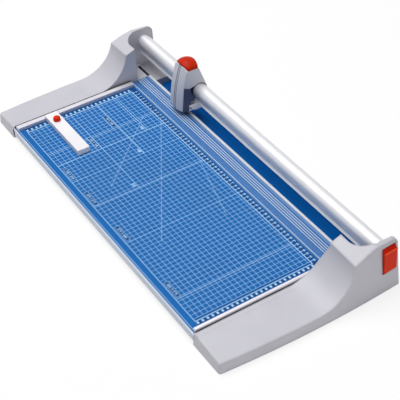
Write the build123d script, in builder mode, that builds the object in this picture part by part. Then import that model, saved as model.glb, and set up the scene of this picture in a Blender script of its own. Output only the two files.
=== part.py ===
from build123d import *
from math import radians, sqrt, tan
import os

# A desk-top rotary paper trimmer. +X runs along the cut, +Y from the operator to the back, +Z up.
# The origin is on the desk, under the middle of the machine. Lengths are in millimetres.

os.makedirs("parts", exist_ok=True)

# Shared clearances
overrun = 2.0
air = 0.3
running_gap = 0.05
seat_gap = 0.2

# Whole machine
cut_length = 672.0
machine_depth = 376.0
table_height = 25.0
cut_setback = 46.0
foot_height = 1.2

half_cut = cut_length / 2
front_y = -machine_depth / 2
rear_y = machine_depth / 2
cut_y = rear_y - cut_setback

# End blocks: outer form
block_inset = 18.0
block_reach = 79.4
bow_sag = 6.1
bow_middle_y = 20.0
wall_draft = 6.0
block_wall = 3.0
ledge_height = 26.5
sweep_run = 78.0
ridge_height = 95.0
ridge_lead = 53.0
shoulder_height = 105.0
shoulder_lead = 27.0
crest_height = 110.5
crest_lead = 6.0
crest_sag = 2.0
rear_lean = 2.5
crest_round = 14.0
front_round = 5.0
edge_round = 2.5
top_fall_share = 0.05
lip_gap = 1.0
lip_bend_low = 42.0
lip_bend_high = 86.0

block_inner = half_cut + block_inset
block_base = foot_height
draft_share = tan(radians(wall_draft))
bow_half = rear_y - bow_middle_y
bow_radius = (bow_half**2 + bow_sag**2) / (2 * bow_sag)
ridge_y = cut_y - ridge_lead
shoulder_y = cut_y - shoulder_lead
crest_y = cut_y - crest_lead
crest_rear = crest_height - crest_sag
sweep_y = ridge_y - sweep_run
plan_rear_y = rear_y + crest_height * draft_share + overrun

# End blocks: parking bay for the cutting head
bay_length = 55.0
bay_lead = 31.0
bay_corner = 36.0
bay_floor_drop = 0.4
bay_step = 8.0
groove_width = 3.6
groove_lead = 0.4
groove_depth = 6.0
groove_length = 45.0
sill_width = 16.0

ear_inner = block_inner + bay_length
bay_front_y = cut_y - bay_lead
bay_floor = table_height - bay_floor_drop
bay_rear_floor = table_height - bay_step
groove_front_y = cut_y + groove_lead
groove_rear_y = groove_front_y + groove_width

# Base covers, their screws and the rubber feet
cover_thickness = 3.0
cover_gap = 0.6
boss_radius = 4.5
cover_screw_radius = 1.5
cover_screw_length = 9.0
cover_head_radius = 3.0
cover_head_height = 1.6
foot_radius = 8.0
foot_seat = 1.4
cover_screw_x_share = 0.46
front_screw_y_shares = (0.07, 0.42)
rear_screw_y_shares = (0.90,)
foot_x_share = 0.46
foot_y_shares = (0.13, 0.5, 0.95)

# Red latches on the outer walls
latch_width = 28.5
latch_length = 54.0
latch_lag = 22.0
latch_rise = 44.0
latch_inner = 4.0
latch_proud = 3.2
latch_nose_proud = 5.5
latch_nose_length = 8.0
latch_toe = 3.0
latch_gap = 1.0
latch_pin_radius = 1.25
latch_pin_rise = 3.5
latch_pin_sink = 2.2
latch_pin_bite = 5.0
lug_height = 8.0
lug_depth = 6.0

# Table, its trim and its bearers
sheet = 2.0
table_overlap = 15.0
table_front_gap = 5.0
table_lip = 13.0
knife_width = 11.7
knife_lap = 0.75
knife_thickness = 3.0
trim_thickness = 3.8
trim_height = 15.5
trim_drop = 1.0
trim_round = 1.5
bearer_width = 10.0
bearer_height = 11.0
bearer_lead = 42.0
bearer_lag = 8.0
bearer_screw_radius = 2.0
bearer_head_radius = 3.6
bearer_head_height = 2.4
bearer_screw_bite = 7.0
bearer_screw_shares = (0.12, 0.5, 0.88)

table_underside = table_height - sheet
table_half = half_cut + table_overlap
table_front_y = front_y + table_front_gap
knife_rear_y = cut_y + knife_lap
knife_front_y = knife_rear_y - knife_width
table_rear_y = knife_front_y - air

# Knife bar and base tray
bar_width = 12.5
bar_lead = 0.8
bar_wall = 2.5
tray_side_gap = 1.0
tray_front_lead = 40.0
tray_lip = 13.0
knife_screw_radius = 1.8
knife_screw_head = 3.2
knife_screw_count = 7
knife_screw_end_share = 0.05
knife_head_height = 2.2
knife_screw_bite = 2.0
knife_land = 1.6

tray_top = block_base + sheet
knife_underside = table_height - knife_thickness
bar_rear_y = cut_y - bar_lead
bar_front_y = bar_rear_y - bar_width
tray_half = half_cut + block_inset - sill_width - tray_side_gap
tray_rear_y = rear_y - sheet

# Side fences
fence_height = 7.5
left_fence_width = 11.0
right_fence_width = 6.5
fence_lead = 50.0
fence_setback = 1.0
fence_edge = 0.8
fence_screw_radius = 1.6
fence_screw_head = 3.0
fence_head_height = 1.8
fence_screw_bite = 5.0
fence_screw_shares = (0.1, 0.5, 0.9)

fence_front_y = table_front_y + fence_setback
fence_rear_y = cut_y - fence_lead

# Lip of the right end block, which reaches over the table to the right fence
lip_inner = half_cut + right_fence_width + lip_gap
lip_root = block_inner + 2 * block_wall
lip_low = table_height + seat_gap
lip_rear_y = fence_rear_y - fence_setback

# Clear hold-down strip
strip_front_lead = 50.0
strip_rear_lead = 15.0
strip_thickness = 2.2
paper_gap = 0.4
rib_height = 1.3
rib_width = 1.4
rib_shares = (0.04, 0.50, 0.64, 0.78, 0.92)
pin_radius = 2.0
pin_inset = 7.5
pin_share = 0.5
pin_drop = 13.0
pin_sink = 1.4
collar_radius = 4.6
collar_height = 1.5
bush_radius = 4.2
bush_flange_radius = 6.0
bush_flange = 1.2
spring_bore = 2.5
spring_radius = 3.8

strip_front_y = cut_y - strip_front_lead
strip_rear_y = cut_y - strip_rear_lead
strip_bottom = table_height + paper_gap
strip_top = strip_bottom + strip_thickness
pin_y = strip_front_y + (strip_rear_y - strip_front_y) * pin_share
pin_x = half_cut + pin_inset
pin_bottom = table_underside - pin_drop

# Paper stop
stop_lead = 247.0
stop_width = 27.5
stop_length = 147.0
stop_overhang = 5.0
stop_height = 12.0
stop_edge = 2.0
stop_chamfer = 0.8
knob_inset = 25.0
knob_radius = 7.6
knob_height = 9.0
knob_grip = 5.0
knob_round = 5.5
stop_screw_radius = 2.5
jaw_width = 12.0
jaw_height = 5.0
jaw_length = 34.0

stop_y = cut_y - stop_lead
stop_left = -half_cut - stop_overhang
stop_bottom = table_height + air
stop_top = table_height + stop_height
knob_x = -half_cut + knob_inset

# Guide rail
rail_lag = 20.0
rail_rise = 53.0
tube_radius = 14.7
tube_wall = 2.5
channel_width = 16.0
channel_drop = 28.0
channel_wall = 2.0
bead_radius = 0.9
bead_drop = 13.5
channel_depth = 11.0
hex_sides = 6
plug_length = 25.0
rail_bolt_radius = 4.0
rail_bolt_head = 6.5
rail_bolt_head_height = 4.0

rail_y = cut_y + rail_lag
rail_z = table_height + rail_rise
channel_bottom = rail_z - channel_drop
channel_front_y = rail_y - channel_width / 2
tube_bore = tube_radius - tube_wall
bead_z = rail_z - bead_drop

# Cutting head
head_rest = 133.0
head_width = 45.0
spine_width = 4.4
spine_sink = 0.5
head_wall = 3.0
nose_rise = 15.0
nose_rear_lead = 23.0
nose_neck_lead = 16.5
skirt_front_rise = 70.0
skirt_tip_lead = 3.7
skirt_tip_rise = 63.8
skirt_rear_rise = 66.0
skirt_lag = 9.5
head_lag = 38.2
head_rear_low = 47.0
head_rear_high = 56.0
head_knee_lag = 33.5
head_knee_rise = 69.0
rim_lag = 20.5
rim_rise = 106.0
brow_lead = 9.2
brow_rise = 112.0
crown_rise = 113.0
crown_side_rise = 104.5
prow_low_lead = 29.0
prow_belly_lead = 23.2
prow_belly_rise = 62.0
prow_radius = 60.0
prow_reach = 30.0
bush_wall = 1.5
rail_bush_length = 12.0
rail_bush_inset = 1.0
bush_drop = 6.0

head_x = -half_cut + head_rest
head_half = head_width / 2
spine_half = spine_width / 2
tunnel_radius = tube_radius + running_gap + bush_wall
prow_lean_share = (prow_low_lead - brow_lead) / (brow_rise - nose_rise)
brow_fall_share = (brow_rise - rim_rise) / (brow_lead + rim_lag)

# Red cap of the cutting head
cap_width = 43.0
cap_front_lead = 8.6
cap_rear_lag = 23.5
cap_top_rise = 120.5
cap_side_rise = 112.0
cap_rear_side_lag = 19.5
cap_crown_radius = 30.0
cap_side_lead = 3.8
cap_corner = 4.0
cap_edge = 2.0

# Circular blade, its bearing, carrier and guard
blade_radius = 19.0
blade_thickness = 1.5
blade_overlap = 2.0
blade_bevel = 1.0
hub_radius = 8.0
hub_flange_radius = 11.0
hub_front = 0.3
hub_rear = 2.6
axle_radius = 3.0
axle_lead = 8.0
carrier_width = 39.0
carrier_rise = 8.0
carrier_top_gap = 1.0
carrier_edge = 2.0
carrier_neck_rise = 38.0
carrier_rear_gap = 0.6
carrier_neck_lag = 2.5
wing_thickness = 3.8
wing_low_rise = 29.0
wing_knee_rise = 37.0
wing_high_rise = 46.0
wing_lag = 9.0
tenon_width = 31.0
tenon_front_lead = 13.0
tenon_rise = 80.0
guard_width = 43.0
guard_front_lag = 6.5
guard_rear_lag = 33.0
guard_rise = 1.6
guard_top_rise = 22.0
guard_slope_lag = 11.0
guard_heel_lag = 12.0
guard_tip_rise = 7.0
guard_tail_rise = 10.5
guard_round = 8.0
guard_wall = 3.0
cheek_thickness = 1.8
cheek_front_lead = 6.0
cheek_low_rise = 9.0
axle_nut_radius = 5.5
axle_nut_height = 3.5
washer_radius = 7.0
washer_thickness = 0.9
head_screw_radius = 1.5
head_screw_head = 2.8
head_screw_head_height = 1.8
head_screw_length = 8.0
cheek_screw_rise = 15.0
cheek_screw_lead = 3.0
shell_screw_lag = 10.0
shell_screw_rise = 82.0
shell_screw_bite = 10.0
shell_boss_radius = 4.0

axle_z = table_height - blade_overlap + blade_radius
blade_front_y = knife_rear_y + air
blade_rear_y = blade_front_y + blade_thickness
guard_front_y = cut_y + guard_front_lag
guard_rear_y = cut_y + guard_rear_lag
carrier_rear_y = cut_y - carrier_rear_gap


def finish(piece, label):
    """Name a finished piece and write it to its own file."""
    piece.part.label = label
    export_step(piece.part, f"parts/{label}.step")


def bow_x(y):
    """Outer wall of the right end block at its foot, for a place along Y."""
    return block_inner + block_reach - bow_radius + sqrt(bow_radius**2 - (y - bow_middle_y) ** 2)


def outer_x(y, z):
    """Outer wall of the right end block at a place along Y and a height."""
    return bow_x(y) - (z - block_base) * draft_share


def top_z(x):
    """Height of the low front part of the right end block at a place along X."""
    return ledge_height - top_fall_share * (x - block_inner)


# End blocks. The side outline is carried outwards and falls a little on the way; the bowed and
# drafted outer wall then trims it.
block_fall = (1, 0, -top_fall_share)

with BuildPart() as block_form:
    with BuildSketch(Plane.YZ.offset(block_inner)) as block_side:
        with BuildLine():
            Polyline(
                (sweep_y, ledge_height),
                (front_y - overrun, ledge_height),
                (front_y - overrun, block_base),
                (rear_y, block_base),
                (rear_y - rear_lean, crest_rear),
                (crest_y, crest_height),
                (shoulder_y, shoulder_height),
                (ridge_y, ridge_height),
            )
            TangentArc((sweep_y, ledge_height), (ridge_y, ridge_height), tangent=(1, 0))
        make_face()
        crest_corner = block_side.vertices().sort_by_distance((rear_y - rear_lean, crest_rear))[0]
        fillet(crest_corner, crest_round)
    extrude(amount=block_reach, dir=block_fall)
    with BuildSketch(Plane.XY.offset(block_base)) as block_plan:
        with BuildLine():
            ThreePointArc(
                (bow_x(front_y), front_y),
                (bow_x(bow_middle_y), bow_middle_y),
                (bow_x(plan_rear_y), plan_rear_y),
            )
            Polyline(
                (bow_x(plan_rear_y), plan_rear_y),
                (half_cut, plan_rear_y),
                (half_cut, front_y),
                (bow_x(front_y), front_y),
            )
        make_face()
        front_corner = block_plan.vertices().sort_by_distance((bow_x(front_y), front_y))[0]
        fillet(front_corner, front_round)
    extrude(amount=crest_height, taper=wall_draft, mode=Mode.INTERSECT)

with BuildSketch(Plane.XY) as bay_plan:
    with BuildLine():
        Polyline(
            (block_inner - overrun, bay_front_y),
            (ear_inner, bay_front_y),
            (ear_inner, rear_y + overrun),
            (block_inner - overrun, rear_y + overrun),
            close=True,
        )
    make_face()
    fillet(bay_plan.vertices().sort_by_distance((ear_inner, bay_front_y))[0], bay_corner)

with BuildSketch(Plane.XY) as bay_walls:
    add(bay_plan.sketch_local)
    offset(amount=block_wall, mode=Mode.REPLACE)

with BuildSketch(Plane.XY) as rear_half:
    with Locations((block_inner, groove_front_y - block_wall)):
        Rectangle(machine_depth, machine_depth, align=(Align.CENTER, Align.MIN))

with BuildSketch(Plane.XY) as rear_floor_plan:
    add(bay_plan.sketch_local)
    with Locations((block_inner, groove_rear_y)):
        Rectangle(machine_depth, machine_depth, align=(Align.CENTER, Align.MIN), mode=Mode.INTERSECT)

with BuildSketch(Plane.XY) as rear_floor_walls:
    add(bay_walls.sketch_local)
    add(rear_half.sketch_local, mode=Mode.INTERSECT)

with BuildSketch(Plane.XY) as cover_plan:
    add(block_plan.sketch_local)
    offset(amount=-block_wall, mode=Mode.REPLACE)
    with Locations((block_inner + block_wall, front_y + block_wall)):
        Rectangle(
            block_reach,
            machine_depth - 2 * block_wall,
            align=(Align.MIN, Align.MIN),
            mode=Mode.INTERSECT,
        )

with BuildPart() as block_hollow:
    with BuildSketch(Plane.YZ.offset(block_inner + block_wall)):
        add(block_side.sketch_local)
        offset(amount=-block_wall, mode=Mode.REPLACE)
    extrude(amount=block_reach, dir=block_fall)
    with BuildSketch(Plane.XY.offset(block_base)):
        add(block_plan.sketch_local)
        offset(amount=-block_wall, mode=Mode.REPLACE)
    extrude(amount=crest_height, taper=wall_draft, mode=Mode.INTERSECT)
    with BuildSketch(Plane.XY.offset(bay_floor - block_wall)):
        add(bay_walls.sketch_local)
    extrude(amount=crest_height, mode=Mode.SUBTRACT)
    with BuildSketch(Plane.XY.offset(bay_rear_floor - block_wall)):
        add(rear_floor_walls.sketch_local)
    extrude(amount=crest_height, mode=Mode.SUBTRACT)
    with BuildSketch(Plane.XY.offset(block_base - overrun)):
        add(cover_plan.sketch_local)
    extrude(amount=overrun + cover_thickness + seat_gap)

# The latch stands on a plane that lies on the outer wall
latch_y = cut_y + latch_lag
latch_z = table_height + latch_rise
wall_slope = -(latch_y - bow_middle_y) / sqrt(bow_radius**2 - (latch_y - bow_middle_y) ** 2)
latch_plane = Plane(
    origin=(outer_x(latch_y, latch_z), latch_y, latch_z),
    x_dir=(wall_slope, 1, 0),
    z_dir=(1, -wall_slope, draft_share),
)
latch_foot = -latch_length / 2
latch_head = latch_length / 2
pin_v = latch_foot + latch_pin_rise
lug_inner = latch_width / 2 + latch_gap
lug_spacing = 2 * lug_inner + latch_pin_bite
latch_up = latch_plane.y_dir
latch_out = latch_plane.z_dir
latch_side_plane = Plane(origin=latch_plane.origin, x_dir=latch_up, z_dir=latch_plane.x_dir)
pin_centre = latch_plane.origin + latch_up * pin_v - latch_out * latch_pin_sink
pin_plane = Plane(origin=pin_centre, x_dir=latch_up, z_dir=latch_plane.x_dir)
knife_screw_y = (bar_front_y + bar_rear_y) / 2
knife_screw_reach = half_cut * (1 - 2 * knife_screw_end_share)
knife_screw_step = 2 * knife_screw_reach / (knife_screw_count - 1)
knife_screw_places = [
    (-knife_screw_reach + index * knife_screw_step, knife_screw_y) for index in range(knife_screw_count)
]

cover_span_x = bow_x(bow_middle_y) - block_inner
screw_x = block_inner + cover_screw_x_share * cover_span_x
front_screw_places = [(screw_x, front_y + share * machine_depth) for share in front_screw_y_shares]
rear_screw_places = [(screw_x, front_y + share * machine_depth) for share in rear_screw_y_shares]
screw_places = front_screw_places + rear_screw_places
foot_x = block_inner + foot_x_share * cover_span_x
foot_places = [(foot_x, front_y + share * machine_depth) for share in foot_y_shares]
cover_top = block_base + cover_thickness
bearer_front_y = table_front_y + bearer_lag
bearer_rear_y = cut_y - bearer_lead
bearer_length = bearer_rear_y - bearer_front_y
bearer_z = table_underside - bearer_height / 2
bearer_screw_ys = [bearer_front_y + share * bearer_length for share in bearer_screw_shares]

with BuildPart() as end_block:
    add(block_form.part)
    wall_edges = end_block.edges().filter_by(
        lambda edge: edge.bounding_box().min.X > ear_inner and edge.bounding_box().min.Z > cover_top
    )
    fillet(wall_edges, edge_round)
    add(block_hollow.part, mode=Mode.SUBTRACT)
    with BuildSketch(Plane.XY.offset(bay_floor)):
        add(bay_plan.sketch_local)
    extrude(amount=crest_height, mode=Mode.SUBTRACT)
    with BuildSketch(Plane.XY.offset(bay_rear_floor)):
        add(rear_floor_plan.sketch_local)
    extrude(amount=crest_height, mode=Mode.SUBTRACT)
    # sill that closes the end of the trough
    sill_depth = rear_y - groove_rear_y
    with BuildSketch(Plane.XY.offset(block_base)):
        with Locations((block_inner, groove_rear_y)):
            Rectangle(sill_width, sill_depth, align=(Align.MAX, Align.MIN))
    extrude(amount=bay_rear_floor - block_base)
    with BuildSketch(Plane.XY.offset(block_base - overrun)):
        with Locations((block_inner + block_wall, groove_rear_y + block_wall)):
            Rectangle(sill_width, sill_depth - 2 * block_wall, align=(Align.MAX, Align.MIN))
    extrude(amount=overrun + bay_rear_floor - block_base - block_wall, mode=Mode.SUBTRACT)
    # blade groove across the bay floor
    with BuildSketch(Plane.XY.offset(bay_floor + overrun)):
        with Locations((block_inner - overrun, groove_front_y)):
            Rectangle(overrun + groove_length, groove_width, align=(Align.MIN, Align.MIN))
    extrude(amount=-overrun - groove_depth, mode=Mode.SUBTRACT)
    # bosses for the cover screws
    with BuildSketch(Plane.XY.offset(cover_top)):
        with Locations(*front_screw_places):
            Circle(boss_radius)
    extrude(amount=top_z(screw_x) - block_wall / 2 - cover_top)
    with BuildSketch(Plane.XY.offset(cover_top)):
        with Locations(*rear_screw_places):
            Circle(boss_radius)
    extrude(amount=bay_rear_floor - block_wall / 2 - cover_top)
    with BuildSketch(Plane.XY.offset(cover_top - overrun)):
        with Locations(*screw_places):
            Circle(cover_screw_radius)
    extrude(amount=overrun + cover_screw_length, mode=Mode.SUBTRACT)
    # bolt hole of the rail, through the ear
    with BuildSketch(Plane.YZ.offset(ear_inner - overrun)):
        with Locations((rail_y, rail_z)):
            Circle(rail_bolt_radius + seat_gap)
    extrude(amount=block_wall + 2 * overrun, mode=Mode.SUBTRACT)
    # screw holes of the table bearer
    with BuildSketch(Plane.YZ.offset(block_inner - overrun)):
        with Locations(*[(y, bearer_z) for y in bearer_screw_ys]):
            Circle(bearer_screw_radius + seat_gap)
    extrude(amount=block_wall + 2 * overrun, mode=Mode.SUBTRACT)
    # window, lugs and pin hole of the latch
    with BuildSketch(latch_plane.offset(-lug_depth)):
        with Locations((0, pin_v)):
            with GridLocations(lug_spacing, lug_height, 2, 1):
                Rectangle(latch_pin_bite, lug_height)
    extrude(amount=lug_depth - latch_pin_sink / 2)
    with BuildSketch(latch_plane.offset(latch_nose_proud)):
        Rectangle(latch_width + 2 * latch_gap, latch_length + 2 * latch_gap)
    extrude(amount=-latch_nose_proud - 2 * block_wall, mode=Mode.SUBTRACT)
    with BuildSketch(pin_plane):
        Circle(latch_pin_radius)
    extrude(amount=lug_inner + latch_pin_bite, both=True, mode=Mode.SUBTRACT)

with BuildPart() as left_end_block:
    mirror(end_block.part, about=Plane.YZ)

# The right block also has a lip: it follows the block's outline and bends back into the wing
lip_rise = (-1, 0, top_fall_share)
lip_span = lip_root - lip_inner
lip_root_plane = Plane(
    origin=(lip_root, 0, top_z(lip_root) - ledge_height), x_dir=(0, 1, 0), z_dir=(1, 0, 0)
)

with BuildSketch(Plane.XZ.offset(-lip_rear_y)) as lip_section:
    with BuildLine():
        Polyline(
            (lip_inner, lip_bend_low),
            (lip_inner, lip_low),
            (lip_root, lip_low),
            (lip_root, lip_bend_high),
            (block_inner, lip_bend_high),
        )
        TangentArc((lip_inner, lip_bend_low), (block_inner, lip_bend_high), tangent=(0, 1))
    make_face()

with BuildPart() as lip_hollow:
    with BuildSketch(lip_section.workplanes[0]):
        add(lip_section.sketch_local)
        offset(amount=-block_wall, mode=Mode.REPLACE)
    extrude(amount=machine_depth)
    with BuildSketch(lip_root_plane):
        add(block_side.sketch_local)
        offset(amount=-block_wall, mode=Mode.REPLACE)
    extrude(amount=lip_span, dir=lip_rise, mode=Mode.INTERSECT)

with BuildPart() as right_end_block:
    with BuildSketch(lip_section.workplanes[0]):
        add(lip_section.sketch_local)
    extrude(amount=machine_depth)
    with BuildSketch(Plane.XY.offset(block_base)):
        with Locations((lip_inner, table_front_y - seat_gap)):
            Rectangle(block_inner - lip_inner, table_front_gap + overrun, align=(Align.MIN, Align.MAX))
    extrude(amount=ledge_height)
    with BuildSketch(Plane.YZ.offset(block_inner)):
        add(block_side.sketch_local)
    extrude(amount=lip_span, dir=lip_rise, mode=Mode.INTERSECT)
    with BuildSketch(Plane.XY.offset(block_base)):
        add(block_plan.sketch_local)
    extrude(amount=crest_height, taper=wall_draft, mode=Mode.INTERSECT)
    add(end_block.part)
    add(lip_hollow.part, mode=Mode.SUBTRACT)

finish(right_end_block, "right_end_block")
finish(left_end_block, "left_end_block")

# Base covers drop into the open undersides and carry the feet
with BuildPart() as right_base_cover:
    with BuildSketch(Plane.XY.offset(block_base)):
        add(cover_plan.sketch_local)
        offset(amount=-cover_gap, mode=Mode.REPLACE)
    extrude(amount=cover_thickness)
    with BuildSketch(Plane.XY.offset(block_base - overrun)):
        with Locations(*screw_places):
            Circle(cover_screw_radius + seat_gap)
    extrude(amount=2 * overrun + cover_thickness, mode=Mode.SUBTRACT)
    with BuildSketch(Plane.XY.offset(block_base - overrun)):
        with Locations(*screw_places):
            Circle(cover_head_radius + seat_gap)
    extrude(amount=overrun + cover_head_height, mode=Mode.SUBTRACT)
    with BuildSketch(Plane.XY.offset(block_base - overrun)):
        with Locations(*foot_places):
            Circle(foot_radius)
    extrude(amount=overrun + foot_seat, mode=Mode.SUBTRACT)

with BuildPart() as left_base_cover:
    mirror(right_base_cover.part, about=Plane.YZ)

finish(right_base_cover, "right_base_cover")
finish(left_base_cover, "left_base_cover")

with BuildPart() as cover_screws:
    with BuildSketch(Plane.XY.offset(block_base)):
        with Locations(*screw_places):
            Circle(cover_head_radius)
    extrude(amount=cover_head_height)
    with BuildSketch(Plane.XY.offset(block_base + cover_head_height)):
        with Locations(*screw_places):
            Circle(cover_screw_radius - running_gap)
    extrude(amount=cover_screw_length)
    mirror(about=Plane.YZ)

finish(cover_screws, "cover_screws")

with BuildPart() as rubber_feet:
    with BuildSketch(Plane.XY):
        with Locations(*foot_places):
            Circle(foot_radius)
    extrude(amount=block_base + foot_seat)
    mirror(about=Plane.YZ)

finish(rubber_feet, "rubber_feet")

# Latches: a plate with a bevelled nose at the top, hinged on a pin at its foot
with BuildPart() as right_latch:
    with BuildSketch(latch_side_plane):
        with BuildLine():
            Polyline(
                (latch_foot, -latch_inner),
                (latch_head, -latch_inner),
                (latch_head, 0),
                (latch_head - latch_nose_length, latch_nose_proud),
                (latch_foot + latch_toe, latch_proud),
                (latch_foot, latch_proud - latch_toe),
                close=True,
            )
        make_face()
    extrude(amount=latch_width / 2, both=True)
    with BuildSketch(pin_plane):
        Circle(latch_pin_radius + running_gap)
    extrude(amount=latch_width, both=True, mode=Mode.SUBTRACT)

with BuildPart() as left_latch:
    mirror(right_latch.part, about=Plane.YZ)

finish(right_latch, "right_latch")
finish(left_latch, "left_latch")

with BuildPart() as latch_pins:
    with BuildSketch(pin_plane):
        Circle(latch_pin_radius)
    extrude(amount=lug_inner + latch_pin_bite - seat_gap, both=True)
    mirror(about=Plane.YZ)

finish(latch_pins, "latch_pins")

# Table plate: a folded sheet with a front lip, open round the guide bushes and over the fence screws
left_fence_x = -half_cut - left_fence_width / 2
right_fence_x = half_cut + right_fence_width / 2
fence_length = fence_rear_y - fence_front_y
fence_screw_ys = [fence_front_y + share * fence_length for share in fence_screw_shares]
fence_screw_places = [(x, y) for x in (left_fence_x, right_fence_x) for y in fence_screw_ys]
bush_places = [(-pin_x, pin_y), (pin_x, pin_y)]

with BuildPart() as table_plate:
    with BuildSketch(Plane.YZ):
        with BuildLine():
            Polyline(
                (table_front_y, table_height),
                (table_rear_y, table_height),
                (table_rear_y, table_underside),
                (table_front_y + sheet, table_underside),
                (table_front_y + sheet, table_underside - table_lip),
                (table_front_y, table_underside - table_lip),
                close=True,
            )
        make_face()
    extrude(amount=table_half, both=True)
    with BuildSketch(Plane.XY.offset(table_underside - overrun)):
        with Locations(*bush_places):
            Circle(bush_radius)
        with Locations(*fence_screw_places):
            Circle(fence_screw_radius + seat_gap)
    extrude(amount=2 * overrun + sheet, mode=Mode.SUBTRACT)

finish(table_plate, "table_plate")

# Pale trim strip over the front lip
trim_top = table_height - trim_drop
trim_left = -block_inner + air
trim_right = lip_inner - seat_gap
with BuildPart() as front_trim:
    with BuildSketch(Plane.YZ.offset(trim_left)):
        with Locations((table_front_y, trim_top)):
            Rectangle(trim_thickness, trim_height, align=(Align.MAX, Align.MAX))
    extrude(amount=trim_right - trim_left)
    trim_edges = front_trim.edges().filter_by(Axis.X).group_by(Axis.Y)[0]
    fillet(trim_edges, trim_round)

finish(front_trim, "front_trim")

# Bearers under the table's sides, screwed to the end blocks from inside
with BuildPart() as right_bearer:
    with BuildSketch(Plane.YZ.offset(block_inner - bearer_width)):
        with Locations((bearer_front_y + bearer_length / 2, bearer_z)):
            Rectangle(bearer_length, bearer_height)
        with Locations(*[(y, bearer_z) for y in bearer_screw_ys]):
            Circle(bearer_screw_radius, mode=Mode.SUBTRACT)
    extrude(amount=bearer_width)
    with BuildSketch(Plane.XY.offset(bearer_z - bearer_height)):
        with Locations(*[place for place in fence_screw_places if place[0] > 0]):
            Circle(fence_screw_head + air)
    extrude(amount=2 * bearer_height, mode=Mode.SUBTRACT)
    with BuildSketch(Plane.XY.offset(bearer_z - bearer_height)):
        with Locations((pin_x, pin_y)):
            Circle(bush_flange_radius + air)
    extrude(amount=2 * bearer_height, mode=Mode.SUBTRACT)

with BuildPart() as left_bearer:
    with BuildSketch(Plane.YZ.offset(-block_inner)):
        with Locations((bearer_front_y + bearer_length / 2, bearer_z)):
            Rectangle(bearer_length, bearer_height)
        with Locations(*[(y, bearer_z) for y in bearer_screw_ys]):
            Circle(bearer_screw_radius, mode=Mode.SUBTRACT)
    extrude(amount=bearer_width)
    with BuildSketch(Plane.XY.offset(bearer_z - bearer_height)):
        with Locations(*[place for place in fence_screw_places if place[0] < 0]):
            Circle(fence_screw_head + air)
    extrude(amount=2 * bearer_height, mode=Mode.SUBTRACT)
    with BuildSketch(Plane.XY.offset(bearer_z - bearer_height)):
        with Locations((-pin_x, pin_y)):
            Circle(bush_flange_radius + air)
    extrude(amount=2 * bearer_height, mode=Mode.SUBTRACT)

finish(right_bearer, "right_bearer")
finish(left_bearer, "left_bearer")

with BuildPart() as bearer_screws:
    with BuildSketch(Plane.YZ.offset(block_inner + block_wall)):
        with Locations(*[(y, bearer_z) for y in bearer_screw_ys]):
            Circle(bearer_head_radius)
    extrude(amount=bearer_head_height)
    with BuildSketch(Plane.YZ.offset(block_inner + block_wall)):
        with Locations(*[(y, bearer_z) for y in bearer_screw_ys]):
            Circle(bearer_screw_radius)
    extrude(amount=-block_wall - bearer_screw_bite)
    mirror(about=Plane.YZ)

finish(bearer_screws, "bearer_screws")

# Side fences stand on the table and are screwed from below
def fence(x, width):
    """Fence bar of a given width at a place along X."""
    with BuildPart() as bar:
        with BuildSketch(Plane.XY.offset(table_height)):
            with Locations((x, fence_front_y + fence_length / 2)):
                Rectangle(width, fence_length)
        extrude(amount=fence_height)
        chamfer(bar.edges().group_by(Axis.Z)[-1], fence_edge)
        with BuildSketch(Plane.XY.offset(table_height - overrun)):
            with Locations(*[(x, y) for y in fence_screw_ys]):
                Circle(fence_screw_radius)
        extrude(amount=overrun + fence_screw_bite, mode=Mode.SUBTRACT)
    return bar


left_fence = fence(left_fence_x, left_fence_width)
right_fence = fence(right_fence_x, right_fence_width)
finish(left_fence, "left_fence")
finish(right_fence, "right_fence")

with BuildPart() as fence_screws:
    with BuildSketch(Plane.XY.offset(table_underside)):
        with Locations(*fence_screw_places):
            Circle(fence_screw_head)
    extrude(amount=-fence_head_height)
    with BuildSketch(Plane.XY.offset(table_underside)):
        with Locations(*fence_screw_places):
            Circle(fence_screw_radius - running_gap)
    extrude(amount=sheet + fence_screw_bite - running_gap)

finish(fence_screws, "fence_screws")

# Knife bar, counter blade and the tray behind them
with BuildPart() as knife_bar:
    with BuildSketch(Plane.YZ):
        with Locations((bar_rear_y, tray_top)):
            Rectangle(bar_width, knife_underside - tray_top, align=(Align.MAX, Align.MIN))
        with Locations((bar_rear_y - bar_wall, tray_top + bar_wall)):
            Rectangle(
                bar_width - 2 * bar_wall,
                knife_underside - tray_top - 2 * bar_wall,
                align=(Align.MAX, Align.MIN),
                mode=Mode.SUBTRACT,
            )
    extrude(amount=block_inner, both=True)
    with BuildSketch(Plane.XY.offset(tray_top - overrun)):
        with Locations(*knife_screw_places):
            Circle(knife_screw_head + seat_gap)
    extrude(amount=overrun + bar_wall + overrun, mode=Mode.SUBTRACT)
    with BuildSketch(Plane.XY.offset(tray_top)):
        with Locations(*knife_screw_places):
            Circle(knife_screw_radius + seat_gap)
    extrude(amount=knife_underside, mode=Mode.SUBTRACT)

finish(knife_bar, "knife_bar")

with BuildPart() as counter_blade:
    with BuildSketch(Plane.YZ):
        with BuildLine():
            Polyline(
                (knife_front_y, knife_underside),
                (knife_front_y, table_height),
                (knife_rear_y, table_height),
                (knife_rear_y, table_height - knife_land),
                (knife_rear_y - knife_land, knife_underside),
                close=True,
            )
        make_face()
    extrude(amount=block_inner - air, both=True)
    with BuildSketch(Plane.XY.offset(knife_underside - overrun)):
        with Locations(*knife_screw_places):
            Circle(knife_screw_radius)
    extrude(amount=overrun + knife_screw_bite, mode=Mode.SUBTRACT)

finish(counter_blade, "counter_blade")

with BuildPart() as knife_screws:
    with BuildSketch(Plane.XY.offset(knife_underside - bar_wall)):
        with Locations(*knife_screw_places):
            Circle(knife_screw_head)
    extrude(amount=-knife_head_height)
    with BuildSketch(Plane.XY.offset(knife_underside - bar_wall)):
        with Locations(*knife_screw_places):
            Circle(knife_screw_radius - running_gap)
    extrude(amount=bar_wall + knife_screw_bite - running_gap)

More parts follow.
